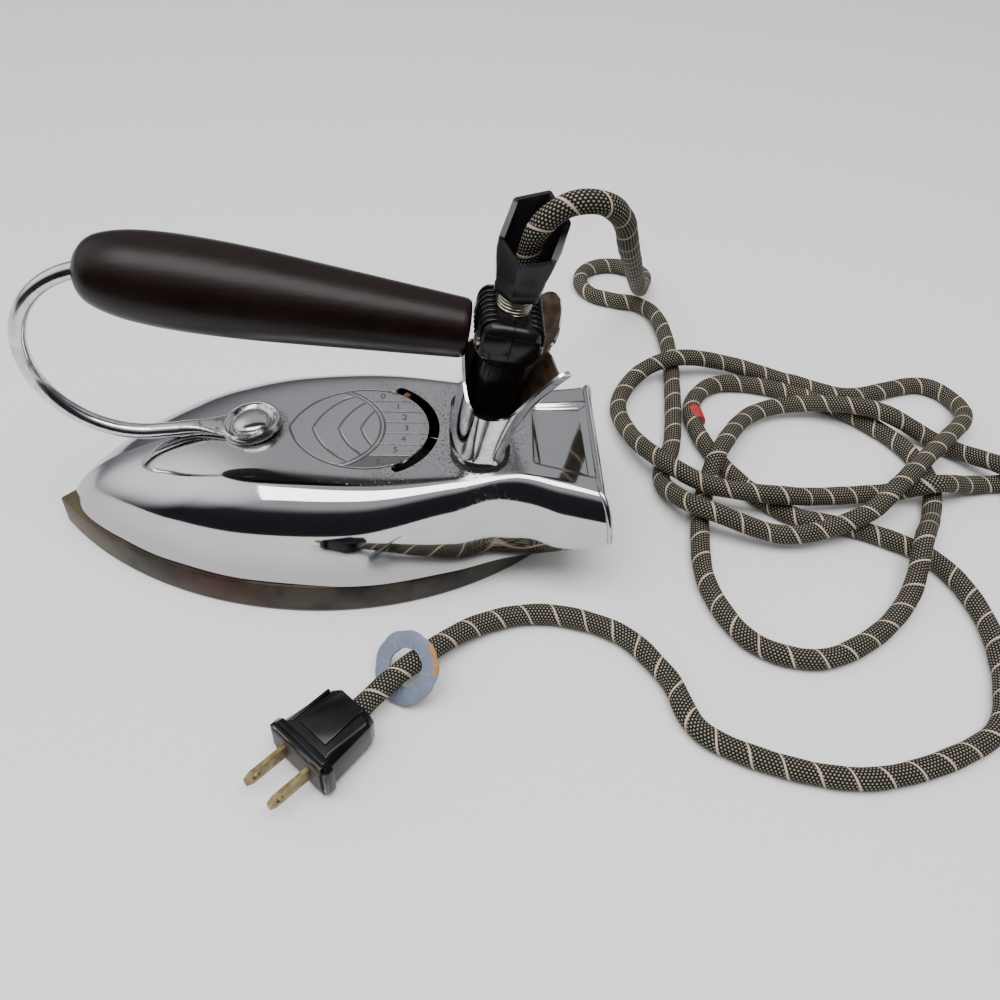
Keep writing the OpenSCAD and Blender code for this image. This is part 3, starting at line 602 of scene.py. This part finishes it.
rows = rows * divider.step(25.0, 25.4) * slot_ring.step(ROWS_END, 24.0)
engraved = outline.high(divide).high(chevrons * 0.8).high(rows * 0.8) * on_top
hot_row = y.step(-16.9, -17.3) * slot_ring.step(25.0, 24.2)
hot_row = hot_row * divider.step(DIVIDER_R, 25.3) * on_top

grime = chrome.noise(1.1, 5, rough=0.65)
drift = chrome.noise(22, 3)
near_guard = distance(x, y * 0.55, GUARD_X - 1, 0).step(26, 14) * x.step(100, 90)
near_eye = abs(distance(x, y, -18, 0) - 12.6).step(3.2, 0.3)
near_slot = abs(slot_ring - SLOT_R).step(6.5, 2.5) * x.step(24, 38)
spots = grime.step(0.53, 0.61)
stain = highest((near_guard, near_eye, near_slot)) * spots
stain = stain.high(near_eye * grime.step(0.42, 0.6) * 0.8)
scratches = chrome.noise(0.5, 2, stretch=(40, 3, 3)).step(0.70, 0.78)
haze = x.step(-62, -94).high(drift.step(0.60, 0.85) * 0.4)
metal = chrome.mix(drift, (0.47, 0.475, 0.485), (0.58, 0.58, 0.59))
# painted shade: the lower part of each side is painted darker, a dark reflection painted into the
# chrome's colour
metal = chrome.mix(z.step(36, 20) * 0.5, metal, (0.30, 0.295, 0.285))
metal = chrome.mix(engraved * 0.62, metal, (0.10, 0.09, 0.08))
metal = chrome.mix(hot_row * 0.55, metal, (0.05, 0.045, 0.045))
metal = chrome.mix(stain * on_top * 0.75, metal, (0.10, 0.065, 0.035))
chrome.feed(Base_Color=metal,
            Roughness=on_top * 0.12 + haze * 0.14 + scratches * 0.12 + stain * 0.25 + 0.06)
pits = chrome.noise(0.7, 3).step(0.68, 0.75) * on_top
chrome.bump(engraved.flip() * 0.8 + pits * -0.12, 0.35)
print("shell finish ready")

# %% [markdown]
# ## Soleplate
# The outline is two arcs that meet at a point in front and two that meet behind. Rings of the
# same outline, first drawn in a little and then at full size, give the slab its softened edges;
# a smaller outline sinks the pocket for the heating element.

# %% Soleplate
def boat(nose, heel, half, steps=64):
    """Plan outline from the nose round to the heel and back, about the widest section."""
    near = []
    for reach, sign in ((nose, -1), (heel, 1)):
        radius = (reach * reach + half * half) / (2 * half)
        swing = math.asin(reach / radius)
        angles = [swing * k / steps for k in range(steps + 1)]
        if sign < 0:
            angles.reverse()
        near += [(8 + sign * radius * math.sin(a), radius * math.cos(a) - radius + half)
                 for a in angles[1 if sign > 0 else 0:]]
    return [(px, -py) for px, py in near] + [(px, py) for px, py in near[-2:0:-1]]


def boat_ring(trim, height, nose=114, heel=109, half=50):
    return [(px, py, height) for px, py in boat(nose - trim, heel - trim, half - trim)]


SLAB, POCKET_FLOOR = 15, 12
bm = bmesh.new()
capped(bm, [boat_ring(0.9, 0), boat_ring(0.25, 0.3), boat_ring(0, 0.9), boat_ring(0, 13.9),
            boat_ring(0.5, 14.8), boat_ring(0.8, SLAB),
            boat_ring(0, SLAB, 80, 83, 39), boat_ring(0, POCKET_FLOOR, 80, 83, 39)])
piece("soleplate_cast", bm, sole_paint.material, "iron", sharp=34,
      replaces=["soleplate"])

# %% [markdown]
# ## Shell
# The sheet-metal shell is described by ten stations from nose to tail. Each station gives a
# point on the hem, a point on the crest and how full the side is between them. Smooth curves
# through the stations supply as many columns as wanted. The top is a separate skin: one flat
# panel with holes, then a patch over the heel with its stamped frame and cross rib. Doubling
# the finished skin inwards gives the sheet its thickness.

# %% Shell
STATIONS = [((-99, 0, 15), (-14, 0, 57), 1.7), ((-93, 10.5, 15), (-13, 7, 57), 1.8),
            ((-76, 23.5, 15), (-7, 14, 57), 2.1), ((-52, 36.3, 15), (3, 19.5, 57), 2.5),
            ((-18, 46.4, 15), (18, 23.5, 57), 2.8), ((26, 48.8, 15), (42, 27, 57), 2.8),
            ((62, 41, 15), (68, 26.5, 57), 2.7), ((86, 34.5, 17), (88, 24, 57), 2.4),
            ((106, 38, 25), (104, 26.5, 55.3), 2.1), ((126, 42, 33), (121, 32, 53.6), 1.8)]
SPAN, RISE_STEPS, ACROSS = 12, 36, 100     # columns per station, rows up a side, columns across
PANEL_Z, SHEET = 57, 1.1                   # height of the dial panel, thickness of the metal
hems = spline([s[0] for s in STATIONS], SPAN)
crests = spline([s[1] for s in STATIONS], SPAN)
fullness = [p.x for p in spline([(s[2], 0, 0) for s in STATIONS], SPAN)]
for p in crests:
    p.z = min(p.z, PANEL_Z)
LAST_K, PANEL_K = len(hems) - 1, 7 * SPAN


def side_point(k, share, far):
    """Point on column k of a side, from the hem (share 0) to the crest (share 1)."""
    hem, crest = hems[k], crests[k]
    f = math.cos(math.pi / 2 * share) ** (2 / fullness[k]) if share < 1 else 0.0
    g = math.sin(math.pi / 2 * share) ** (2 / fullness[k])
    p = crest.lerp(hem, f)
    return Vector((p.x, p.y if far else -p.y, hem.z + (crest.z - hem.z) * g))


def bridge(near, far):
    """Points between the last one of near and the first one of far."""
    return [near[-1].lerp(far[0], i / ACROSS) for i in range(1, ACROSS)]


def ring_round(last, share):
    """Up the near side to column last, across, and back along the far side."""
    near = [side_point(k, share, False) for k in range(last + 1)]
    far = [side_point(k, share, True) for k in range(last, 0, -1)]
    return near + bridge(near, far) + far


def ramp(value, start, end):
    """0 before start, 1 after end and a straight line between."""
    return min(1.0, max(0.0, (value - start) / (end - start)))


def hump(value, centre, width):
    return math.exp(-((value - centre) / width) ** 2)


def heel_lift(px, py, width):
    """Height of the stamped work on the heel above a plain sheet."""
    across = py / width
    inside = (ramp(px, 95.6, 97.0) * ramp(px, 119.3, 118.1) * ramp(across, -0.80, -0.75)
              * ramp(across, 0.62, 0.57))
    rib = hump(across, 0.68, 0.032) * ramp(px, 93, 96)
    return (rib * 0.9 - inside * 0.75) * ramp(px, 120.6, 118.6)


def thicken(bm, depth, inside=0):
    """Gives an open sheet a second skin, depth below its outer one, and joins their edges."""
    bmesh.ops.remove_doubles(bm, verts=bm.verts, dist=MERGE)
    bmesh.ops.recalc_face_normals(bm, faces=bm.faces)
    bm.normal_update()
    faces = list(bm.faces)
    rim = [e for e in bm.edges if len(e.link_faces) == 1]
    twin = {v: bm.verts.new(v.co - v.normal * depth) for v in list(bm.verts)}
    for face in faces:
        bm.faces.new([twin[v] for v in reversed(face.verts)]).material_index = inside
    for edge in rim:
        a, b = edge.verts
        bm.faces.new((a, b, twin[b], twin[a])).material_index = 0


bm = bmesh.new()
skin(bm, [ring_round(LAST_K, j / RISE_STEPS) for j in range(RISE_STEPS + 1)])
# heel patch, straight across from the near crest to the far one
heel_rows = []
for k in range(PANEL_K, LAST_K + 1):
    near, far = side_point(k, 1, False), side_point(k, 1, True)
    between = bridge([near], [far])
    for p in between:
        p.z += heel_lift(p.x, p.y, far.y)
    heel_rows.append([near, *between, far])
skin(bm, heel_rows, closed=False)
# panel: a narrow margin that follows the crest, then a flat sheet with two holes
MARGIN = 0.5
outer = ring_round(PANEL_K, 1)
inner = []
for i, p in enumerate(outer):
    way = (outer[(i + 1) % len(outer)] - outer[i - 1]).normalized()
    inner.append(p + Vector((-way.y, way.x, 0)) * MARGIN)
skin(bm, [outer, inner])
middle = (SLOT_X, 0)
slot_hole = []
for radius, sign in ((SLOT_R + SLOT_HALF, 1), (SLOT_R - SLOT_HALF, -1)):
    slot_hole += arc(middle, radius, -sign * SLOT_REACH, sign * SLOT_REACH, 48)
    end = arc(middle, SLOT_R, sign * SLOT_REACH, 0, 1)[0]
    turn = SLOT_REACH if sign > 0 else 180 - SLOT_REACH
    slot_hole += arc(end, SLOT_HALF, turn, turn + 180, 12)[1:-1]
HOLE_R, HOLE_HALF = 8.6, 12
guard_hole = [(GUARD_X + px, py + (HOLE_HALF if k < 32 else -HOLE_HALF))
              for k, (px, py) in enumerate(circle(HOLE_R, 64))]
slot_hole, guard_hole = ([(*p, PANEL_Z) for p in hole] for hole in (slot_hole, guard_hole))
loops = [[Vector(p) for p in loop] for loop in (inner, slot_hole, guard_hole)]
corners = [bm.verts.new(p) for loop in loops for p in loop]
for triangle in tessellate_polygon(loops):
    bm.faces.new([corners[i] for i in triangle])
thicken(bm, SHEET, inside=1)
piece("shell_sheet", bm, [chrome.material, plate_iron], "iron", sharp=38,
      replaces=["shell"])

# %% [markdown]
# The rear edge of the shell is rolled over a wire. A thin bead along the tail gives that
# bright line. It climbs one rear side, crosses over and goes down the other.

# %% Rolled rear edge
BEAD_R, BEAD_SHIFT = 1.15, Vector((-0.4, 0, -0.3))
climb = [side_point(LAST_K, s / 12, False) for s in range(1, 13)]
crossing = [climb[-1].lerp(Vector(STATIONS[-1][1]), k / 16) for k in range(1, 16)]
descent = [Vector((p.x, -p.y, p.z)) for p in reversed(climb)]
bm = bmesh.new()
sweep(bm, [p + BEAD_SHIFT for p in climb + crossing + descent], circle(BEAD_R, 12))
piece("shell_rear_bead", bm, chrome.material, "iron", replaces=["shell"])

# %% [markdown]
# Generic numbers mark the rows of the dial. A text object is turned into a mesh so that it can
# be treated like any other piece, and each number lies a hair above the panel.

# %% Dial numbers
row_y = [20.2, 13.4, 6.7, 0.0, -6.7, -13.4, -20.2]
bm = bmesh.new()
for number, y_mm in enumerate(row_y):
    text = bpy.data.curves.new("number", "FONT")
    text.body = str(number)
    text.size = 4.6
    text.align_x = text.align_y = "CENTER"
    text.extrude = 0.04
    flat = bpy.data.objects.new("number", text)
    bpy.context.scene.collection.objects.link(flat)
    depsgraph = bpy.context.evaluated_depsgraph_get()
    drawn = bpy.data.meshes.new_from_object(flat.evaluated_get(depsgraph))
    bpy.data.objects.remove(flat)
    row_start = DIVIDER_X + math.sqrt(DIVIDER_R ** 2 - y_mm ** 2)
    row_end = SLOT_X + math.sqrt(ROWS_END ** 2 - y_mm ** 2)
    before = len(bm.verts)
    bm.from_mesh(drawn)
    bm.verts.ensure_lookup_table()
    bmesh.ops.translate(bm, verts=bm.verts[before:],
                        vec=((row_start + row_end) / 2, y_mm, PANEL_Z + 0.03))
dial_ink = worn("dial_ink", (0.06, 0.055, 0.05), (0.14, 0.13, 0.12), 0.5, 0.5, size=1.5)
piece("dial_numbers", bm, dial_ink, "iron", merge=0)

# %% [markdown]
# ## Handle
# One steel rod starts inside the grip, swings through a short neck and a big bend, and runs
# back over the nose. There it is hammered flat into a tongue and an eye. The round part is a
# circle swept along arcs; the tongue is a set of flattening ovals; the eye is turned.

# %% Handle rod
def side_arc(*where):
    """An arc in the XZ plane, with angles from +X towards +Z."""
    return [Vector((px, 0, pz)) for px, pz in arc(*where)]


def towards(degrees):
    a = math.radians(degrees)
    return Vector((math.cos(a), 0, math.sin(a)))


def squared(value, power):
    """A cosine or sine bent so that the oval it draws gets squarer."""
    return math.copysign(abs(value) ** power, value)


FOOT_A, ENTRY, SLOPE = 6.1, 13.6, 9.6       # slopes of the foot, the bend's end and the grip
NECK_R, ROD_R = 20, 3.2
bend = side_arc((-62, 91.5), 38, 270 + FOOT_A, 90 + ENTRY, 72)
neck_centre = bend[-1] - towards(90 + ENTRY) * NECK_R
neck = side_arc((neck_centre.x, neck_centre.z), NECK_R, 90 + ENTRY, 90 - SLOPE, 20)
tang = [neck[-1] + towards(-SLOPE) * t for t in (2, 20, 60, 126)]
foot = [bend[0] + towards(FOOT_A) * t for t in (11, 8, 5, 2)]
bm = bmesh.new()
sweep(bm, foot + bend + neck[1:] + tang, circle(ROD_R, 28))
piece("handle_rod_round", bm, rod_chrome, "iron", replaces=["handle_rod"])

bm = bmesh.new()
rings = []
start, end = bend[0] + towards(FOOT_A) * 10.5, EYE @ Vector((-8.5, 0, 2.2))
for k in range(17):
    t = k / 16
    ease = t * t * (3 - 2 * t)
    half_w = 3.3 + 3.6 * ramp(t, 0.30, 1) ** 1.5 + 0.5 * ease
    half_t = 3.25 + (1.35 - 3.25) * ease
    centre = start.lerp(end, t) + Vector((0, 0, 0.25 * math.sin(math.pi * t)))
    rings.append([centre + Vector((0, half_w * squared(c, 0.75), half_t * s))
                  for c, s in circle(1, 32)])
capped(bm, rings)
lathe(bm, [(0, 0.5), (11.4, 0.5), (12.1, 1.2), (12.2, 2.6), (11.7, 3.7), (10.9, 4.0), (10.1, 3.7),
           (9.3, 2.6), (8.7, 2.3), (0, 2.3)], 72, EYE)
piece("handle_eye", bm, eye_metal, "iron", replaces=["handle_rod"])

bm = bmesh.new()
dome = [(0, 2.2), (7.3, 2.2), (7.6, 2.9)] + [
    (7.6 * math.cos(math.radians(a)), 3.1 + 3.0 * math.sin(math.radians(a)))
    for a in range(6, 90, 9)]
lathe(bm, dome + [(0, 6.1)], 56, EYE)
piece("handle_screw_head", bm, eye_metal, "iron", replaces=["handle_screw"])

# %% [markdown]
# The grip is a lathe job: a pear-like profile, fat near the front and slim at the heel end,
# with a cup bored into the rear for the washer and nut.

# %% Grip
profile = [(0, 0.34), (2.5, 0.58), (7, 0.76), (16, 0.91), (28, 0.985), (42, 1), (60, 0.965),
           (82, 0.88), (106, 0.78), (130, 0.68), (133.6, 0.665), (135.2, 0.64), (136, 0.6)]
GRIP_R, GRIP_LEN, GRIP_BACK = 17, 140, 7.4     # widest radius, length, start ahead of its origin
smooth = [(p.y * GRIP_R, p.x * GRIP_LEN / profile[-1][0] - GRIP_BACK)
          for p in spline([(h, r, 0) for h, r in profile], 6)]
mouth = [(3.5, -5.7), (4.2, -GRIP_BACK)]
cup = [(7.9, 132.6), (7.4, 132.0), (7.4, 120.8), (3.3, 120.8)]
bm = bmesh.new()
lathe(bm, mouth + smooth + cup, 72, GRIP)
piece("grip_turned", bm, grip_paint.material, "iron", sharp=50,
      replaces=["handle_grip"])

# %% [markdown]
# ## Socket guard
# The guard is a deep drawn cup without a floor. Its plan is an oblong, and its rim rises and
# falls with the angle: a low rise beside the handle's end, and behind it two tall flared petals
# with a lower one between them. One formula gives the rim's height at every angle, and a second
# one its flare. Angle 0 points to the heel.

# %% Guard
def guard_point(angle, share):
    c, s = math.cos(math.radians(angle)), math.sin(math.radians(angle))
    height = share * (25 + 9 * hump(abs(angle), 180, 38) + 22 * hump(abs(angle), 40, 24)
                      + 11 * hump(angle, 0, 12))
    flare = (2.5 + 13 * hump(abs(angle), 30, 30)) * share ** 1.7
    foot = 0.9 * math.exp(-height / 1.2)
    lean = height * math.tan(math.radians(10))
    return Vector((GUARD_X + (11.5 + foot) * squared(c, 0.77) + lean + flare * c,
                   (24.5 + foot) * squared(s, 0.77) + flare * s, GUARD_FOOT_Z + height))


AROUND, UP = 144, 22
bm = bmesh.new()
skin(bm, [[guard_point(-180 + 360 * i / AROUND, j / UP) for i in range(AROUND)]
          for j in range(UP + 1)])
thicken(bm, SHEET, inside=1)
guard_chrome = worn("guard_chrome", (0.50, 0.50, 0.51), (0.70, 0.70, 0.71), 0.10, 1.0, size=5,
                    spread=0.05)
piece("guard_cup", bm, [guard_chrome, guard_inside], "iron", sharp=55,
      replaces=["socket_guard"])

# %% [markdown]
# ## Appliance plug
# The black plug is moulded in two halves with a seam down the narrow sides. It has a slim
# foot that fills the guard, a step, and a wide head with ribs on both broad faces. Each half
# is the same stack of rounded rectangles, cut away on one side of the seam.

# %% Appliance plug
LEVELS = [(10, 16.0, 27.0, 4.6), (10.8, 17, 28, 5), (37, 17, 28, 5), (42.6, 17.6, 28.2, 5),
          (44.6, 20.5, 29.4, 5.4), (45.8, 22.6, 30.4, 6), (47, 23.5, 31, 6), (55, 23.5, 31, 6),
          (57.4, 22.9, 30.5, 6), (59.2, 21.2, 29, 6), (60.2, 18.6, 27, 5.6), (60.6, 16, 25, 5)]
SEAM = 0.14        # each half stops this far short of the middle
for name, sign in (("front", -1), ("rear", 1)):
    bm = bmesh.new()
    capped(bm, [[(px, py, h) for px, py in rounded(w, l, r, 9)] for h, w, l, r in LEVELS])
    bmesh.ops.remove_doubles(bm, verts=bm.verts, dist=MERGE)
    cut = slant_cut(bm, (sign * SEAM, 0, 0), (-sign, 0, 0))
    edges = [e for e in cut["geom_cut"] if isinstance(e, bmesh.types.BMEdge)]
    bmesh.ops.triangle_fill(bm, edges=edges, use_beauty=True)
    # ribs that climb the broad face and fold over its top edge
    for k in range(8):
        across = -11.2 + 3.2 * k
        climb = [(11.75, 1, h) for h in (47.6, 49, 51, 53, 55.6)] + [
            (11.5, 1, 57.4), (10.7, 1, 59), (9.4, 1, 60.2), (7.6, 0.97, 60.7), (6.6, 0.95, 60.6)]
        sweep(bm, [(sign * px, across * narrow, h) for px, narrow, h in climb], circle(0.7, 10))
    # small step round the head where the halves are clamped
    for edge in (-1, 1):
        box(bm, (sign * 0.3, edge * 15.2, 49.2), (sign * 10.4, edge * 15.7, 57), 0.2)
    bmesh.ops.transform(bm, matrix=LEANING, verts=bm.verts)
    piece("appliance_plug_" + name, bm, phenolic, "connector", sharp=42, merge=0,
          replaces=["connector_" + name])

# %% [markdown]
# Two clamp screws sit between the ribs on each broad face, and a coil spring holds the cord
# upright where it leaves the plug. The spring is a circle swept along a helix.

# %% Clamp screws and spring
bm = bmesh.new()
screw = [(0, -8), (1.5, -8), (1.5, -0.4), (2.9, -0.4), (2.9, 0.7), (2.3, 1.2), (0, 1.45)]
for side in (-1, 1):
    for across in (-9.6, 9.6):
        lathe(bm, screw, 28, LEANING @ turned(side * 11.4, across, 51, "Y", side * 90))
piece("clamp_screw_heads", bm, plain_steel, "connector",
      replaces=["connector_screws"])

bm = bmesh.new()
COILS, COIL_STEPS, COIL_R, COIL_RISE, SPRING_Z = 15, 24, 5.9, 1.3, 54
helix = [LEANING @ Vector((COIL_R * math.cos(math.tau * turn), COIL_R * math.sin(math.tau * turn),
                           SPRING_Z + COIL_RISE * turn))
         for turn in (k / COIL_STEPS for k in range(COILS * COIL_STEPS + 1))]
sweep(bm, helix, circle(0.6, 8))
piece("cord_spring", bm, spring_wire, "connector", sharp=60,
      replaces=["connector_spring"])

# %% [markdown]
# The hood is a six-sided sleeve with a slanting mouth. Its corners are lightly rounded, a low
# collar steps out above the spring, and the slant is a flat cut through the open tube.

# %% Cord hood
def hexagon(radius):
    """Six-sided outline with rounded corners, turned by 12 degrees."""
    corner, steps = 1.6, 5
    out = []
    for side in range(6):
        turn = 12 + 60 * side
        middle = arc((0, 0), radius - corner / math.cos(math.radians(30)), turn, 0, 1)[0]
        out += arc(middle, corner, turn - 30, turn + 30, steps)
    return out


HOOD = [(67, 8.9), (67.6, 9.5), (70.6, 9.9), (71.2, 9.6), (76, 10.6), (81, 11.8), (84.5, 12.4),
        (96, 12.6), (108, 12.8)]
bm = bmesh.new()
skin(bm, [[(px, py, h) for px, py in hexagon(r)] for h, r in HOOD])
slant_cut(bm, (0, 0, 92), (-0.158, -0.763, 1.0))
thicken(bm, 2.0)
bmesh.ops.transform(bm, matrix=LEANING, verts=bm.verts)
piece("hood_sleeve", bm, rubber, "connector", sharp=48, merge=0,
      replaces=["cord_hood"])

# %% [markdown]
# ## Plug end
# The supply plug is a tapered block with chamfered edges, a raised grip panel above and below,
# and a flange in front. Behind the flange sits a slip of brown fibre with the two blades.

# %% Supply plug
def chamfered(along, half_w, high, low, cut):
    """A rectangle with cut corners, at a distance along the plug's own X axis."""
    near = [(half_w - cut, low), (half_w, low + cut), (half_w, high - cut), (half_w - cut, high)]
    return [(along, py, pz) for py, pz in near + [(-py, pz) for py, pz in reversed(near)]]


bm = bmesh.new()
loft(bm, [chamfered(0, 9.6, 6.6, -7.4, 2.4), chamfered(3, 11, 8.2, -8.8, 2.8),
          chamfered(24, 13.2, 8.5, -9.2, 2.8)], 0.35)
loft(bm, [chamfered(23, 14.8, 9.3, -9.3, 3.0), chamfered(25.8, 15, 9.5, -9.5, 3.0)], 0.4)
PANEL = [(1.6, -5.8), (20, -6.9), (20, 6.9), (1.6, 5.8)]
for side in (-1, 1):
    box(bm, (25.5, side * 12.9, -6.4), (27.4, side * 14.8, 6.4), 0.3)
    box(bm, (25.5, -12.6, side * 7.4 - 1.4), (27.4, 12.6, side * 7.4 + 1.4), 0.3)
    loft(bm, [[(px, py, side * h) for px, py in PANEL] for h in (5.5, 9.4)], 0.45)
    for edge in (-1, 1):
        box(bm, (4, edge * 9.6 - 0.5, side * 5), (22, edge * 9.6 + 0.5, side * 9), 0.25)
bmesh.ops.transform(bm, matrix=PLUG, verts=bm.verts)
piece("plug_moulding", bm, phenolic, "iron", sharp=30, merge=0,
      replaces=["plug_body"])

# %% [markdown]
# A washer of grey-blue fibre hangs loose on the cord. It is slightly polygonal, with fine
# radial cracks from its hole and one torn edge that shows the orange core.

# %% Fibre disc
disc_paint = Paint("disc_fibre", (0.16, 0.20, 0.29), 0.62)
u, v = disc_paint.axes("UV", "XY")
mottle = disc_paint.noise(5, 4)
base = disc_paint.mix(mottle, (0.115, 0.14, 0.20), (0.20, 0.235, 0.32))
crack = abs((u * 8.0 + mottle * 0.10).fract() - 0.5).step(0.022, 0.008) * v.step(0.72, 0.50)
torn = abs(u - 0.385).step(0.085, 0.060) * (v + mottle * 0.3).step(0.83, 0.88)
edge_rim = v.step(1.02, 1.06)
core = disc_paint.mix(disc_paint.noise(1.2, 3), (0.20, 0.09, 0.03), (0.50, 0.28, 0.10))
base = disc_paint.mix(crack * 0.8, base, (0.42, 0.40, 0.30))
disc_paint.feed(Base_Color=disc_paint.mix(torn.high(edge_rim * 0.6), base, core))
disc_paint.bump(mottle - crack * 0.6, 0.15)
place = turned(46, -85, 10.9, "Z", 225) @ turned(0, 0, 0, "Y", 45)
SIDES = 96


def disc_ring(share, height):
    """One ring of the washer; share is 0 at the hole and 1 at the outer edge."""
    ring = []
    for i in range(SIDES):
        a = math.tau * i / SIDES
        outer_r = 14.25 - 0.45 * (1 - abs(math.cos(a * 4.5))) + 0.12 * math.sin(a * 3 + 1)
        hole_r = 7.0 + 0.35 * abs(math.cos(a * 4))
        radius = hole_r + (outer_r - hole_r) * share
        sag = 0.35 * math.sin(2 * a + 0.6) * share
        ring.append(place @ Vector((radius * math.cos(a), radius * math.sin(a), height + sag)))
    return ring


shares = [(0, -0.35), (0.02, 0.5), (0.5, 0.5), (0.96, 0.5), (1, 0.3), (1, -0.3), (0.96, -0.5),
          (0.5, -0.5), (0.02, -0.5), (0, -0.35)]
bm = bmesh.new()
rows = skin(bm, [disc_ring(*s) for s in shares])
wrap_uv(bm, rows, lambda k: 1.1 if shares[k][0] == 1 else shares[k][0])
disc = piece("disc_washer", bm, disc_paint.material, "iron", replaces=["fibre_disc"])

bm = bmesh.new()
tape_from = Vector(LAST_RUN[0])
way = (Vector(LAST_RUN[1]) - tape_from).normalized()
TAPE = [(2, 4.35), (2.6, 4.62), (5, 4.7), (8, 4.66), (10.4, 4.6), (11, 4.35)]   # place, radius
sweep(bm, [tape_from + way * along for along, r in TAPE], lambda i: circle(TAPE[i][1], 32))
tape = piece("tape_wrap", bm, tape_red, "iron", replaces=["cord_tape"])

# %% [markdown]
# ## The solids that stay
# The remaining CAD solids have the right shape already. They only receive a finish, put into
# the material slot that each of them carries.

# %% Finishes for the solids
FINISHES = {
    plain_steel: "clamp_studs clamp_nuts handle_post handle_washer handle_nut indicator_bracket "
                 "indicator_shaft",
    mica: "mica_lower mica_upper", element_alloy: "heating_ribbon", plate_iron: "pressure_plate",
    heel_tin: "heel_plate", gasket_black: "guard_gasket", ceramic: "terminal_block",
    terminal_metal: "terminal_pins", bimetal: "bimetal_coil", pointer_metal: "indicator_pointer",
    old_brass: "terminal_nuts terminal_straps connector_sleeves plug_screws",
    plate_fibre: "plug_plate", blade_brass: "plug_blades"}
count = 0
for finish, names in FINISHES.items():
    for name in names.split():
        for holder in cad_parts[name].material_slots:
            holder.material = finish
            count += 1
print(count, "slots filled")

# %% [markdown]
# Now that every piece exists, the route of the cord's middle is given once more, in metres.

# %% Cord route in metres
[tuple(p * MM) for p in curve]

# %% [markdown]
# ## Light
# A wide soft panel hangs overhead, a little behind the camera, and gives the chrome its long
# pale highlight. The sky is pale above and darker towards the horizon, darkest on the camera's
# side, with one bright patch high beyond the nose, because chrome only looks like chrome when
# it has something dark to reflect. Seen directly, the sky is an even pale grey, which keeps the
# background plain from every side.

# %% Light and floor
lamp_data = bpy.data.lights.new("overhead", "AREA")
lamp_data.shape = "RECTANGLE"
lamp_data.size, lamp_data.size_y = 1.6, 0.9
lamp_data.energy = 31
lamp = bpy.data.objects.new("overhead", lamp_data)
lamp_at, lamp_target = Vector((0.05, -0.35, 1.5)), Vector((0.08, -0.05, 0.0))
aim = (lamp_target - lamp_at).to_track_quat("-Z", "Y").to_matrix().to_4x4()
lamp.matrix_world = Matrix.Translation(lamp_at) @ aim
bpy.context.scene.collection.objects.link(lamp)

floor_paint = Paint("floor", (0.84, 0.84, 0.83), 0.6)
bm = bmesh.new()
SIDE, FRONT, BACK = 3000, -212, 5000
bm.faces.new([bm.verts.new((px, py, 0)) for px, py in
              ((-SIDE, FRONT), (SIDE, FRONT), (SIDE, BACK), (-SIDE, BACK))])
floor = piece("floor", bm, floor_paint.material, merge=0)

world = bpy.data.worlds.new("studio")
world.use_nodes = True
sky = Graph(world.node_tree)
dx, dy, dz = sky.axes("Generated", "XYZ")
height = dz.step(0.05, 0.75)
shade = sky.mix(height, (0.16, 0.165, 0.18), (0.62, 0.63, 0.65))
shade = sky.mix(dy.step(0.1, -0.5) * dz.step(0.70, 0.42) * 0.96, shade, (0.02, 0.02, 0.025))
glow = (dx * -0.80 + dy * 0.10 + dz * 0.59).step(0.72, 1.0)
shade = sky.mix(glow * 0.9, shade, (1.9, 1.92, 1.95))
seen = sky.node("ShaderNodeLightPath", "Is Camera Ray")
shade = sky.mix(seen, shade, (0.66, 0.66, 0.66))
background = world.node_tree.nodes["Background"]
sky.tree.links.new(shade.socket, background.inputs["Color"])
background.inputs["Strength"].default_value = 0.9
bpy.context.scene.world = world
print("light ready")
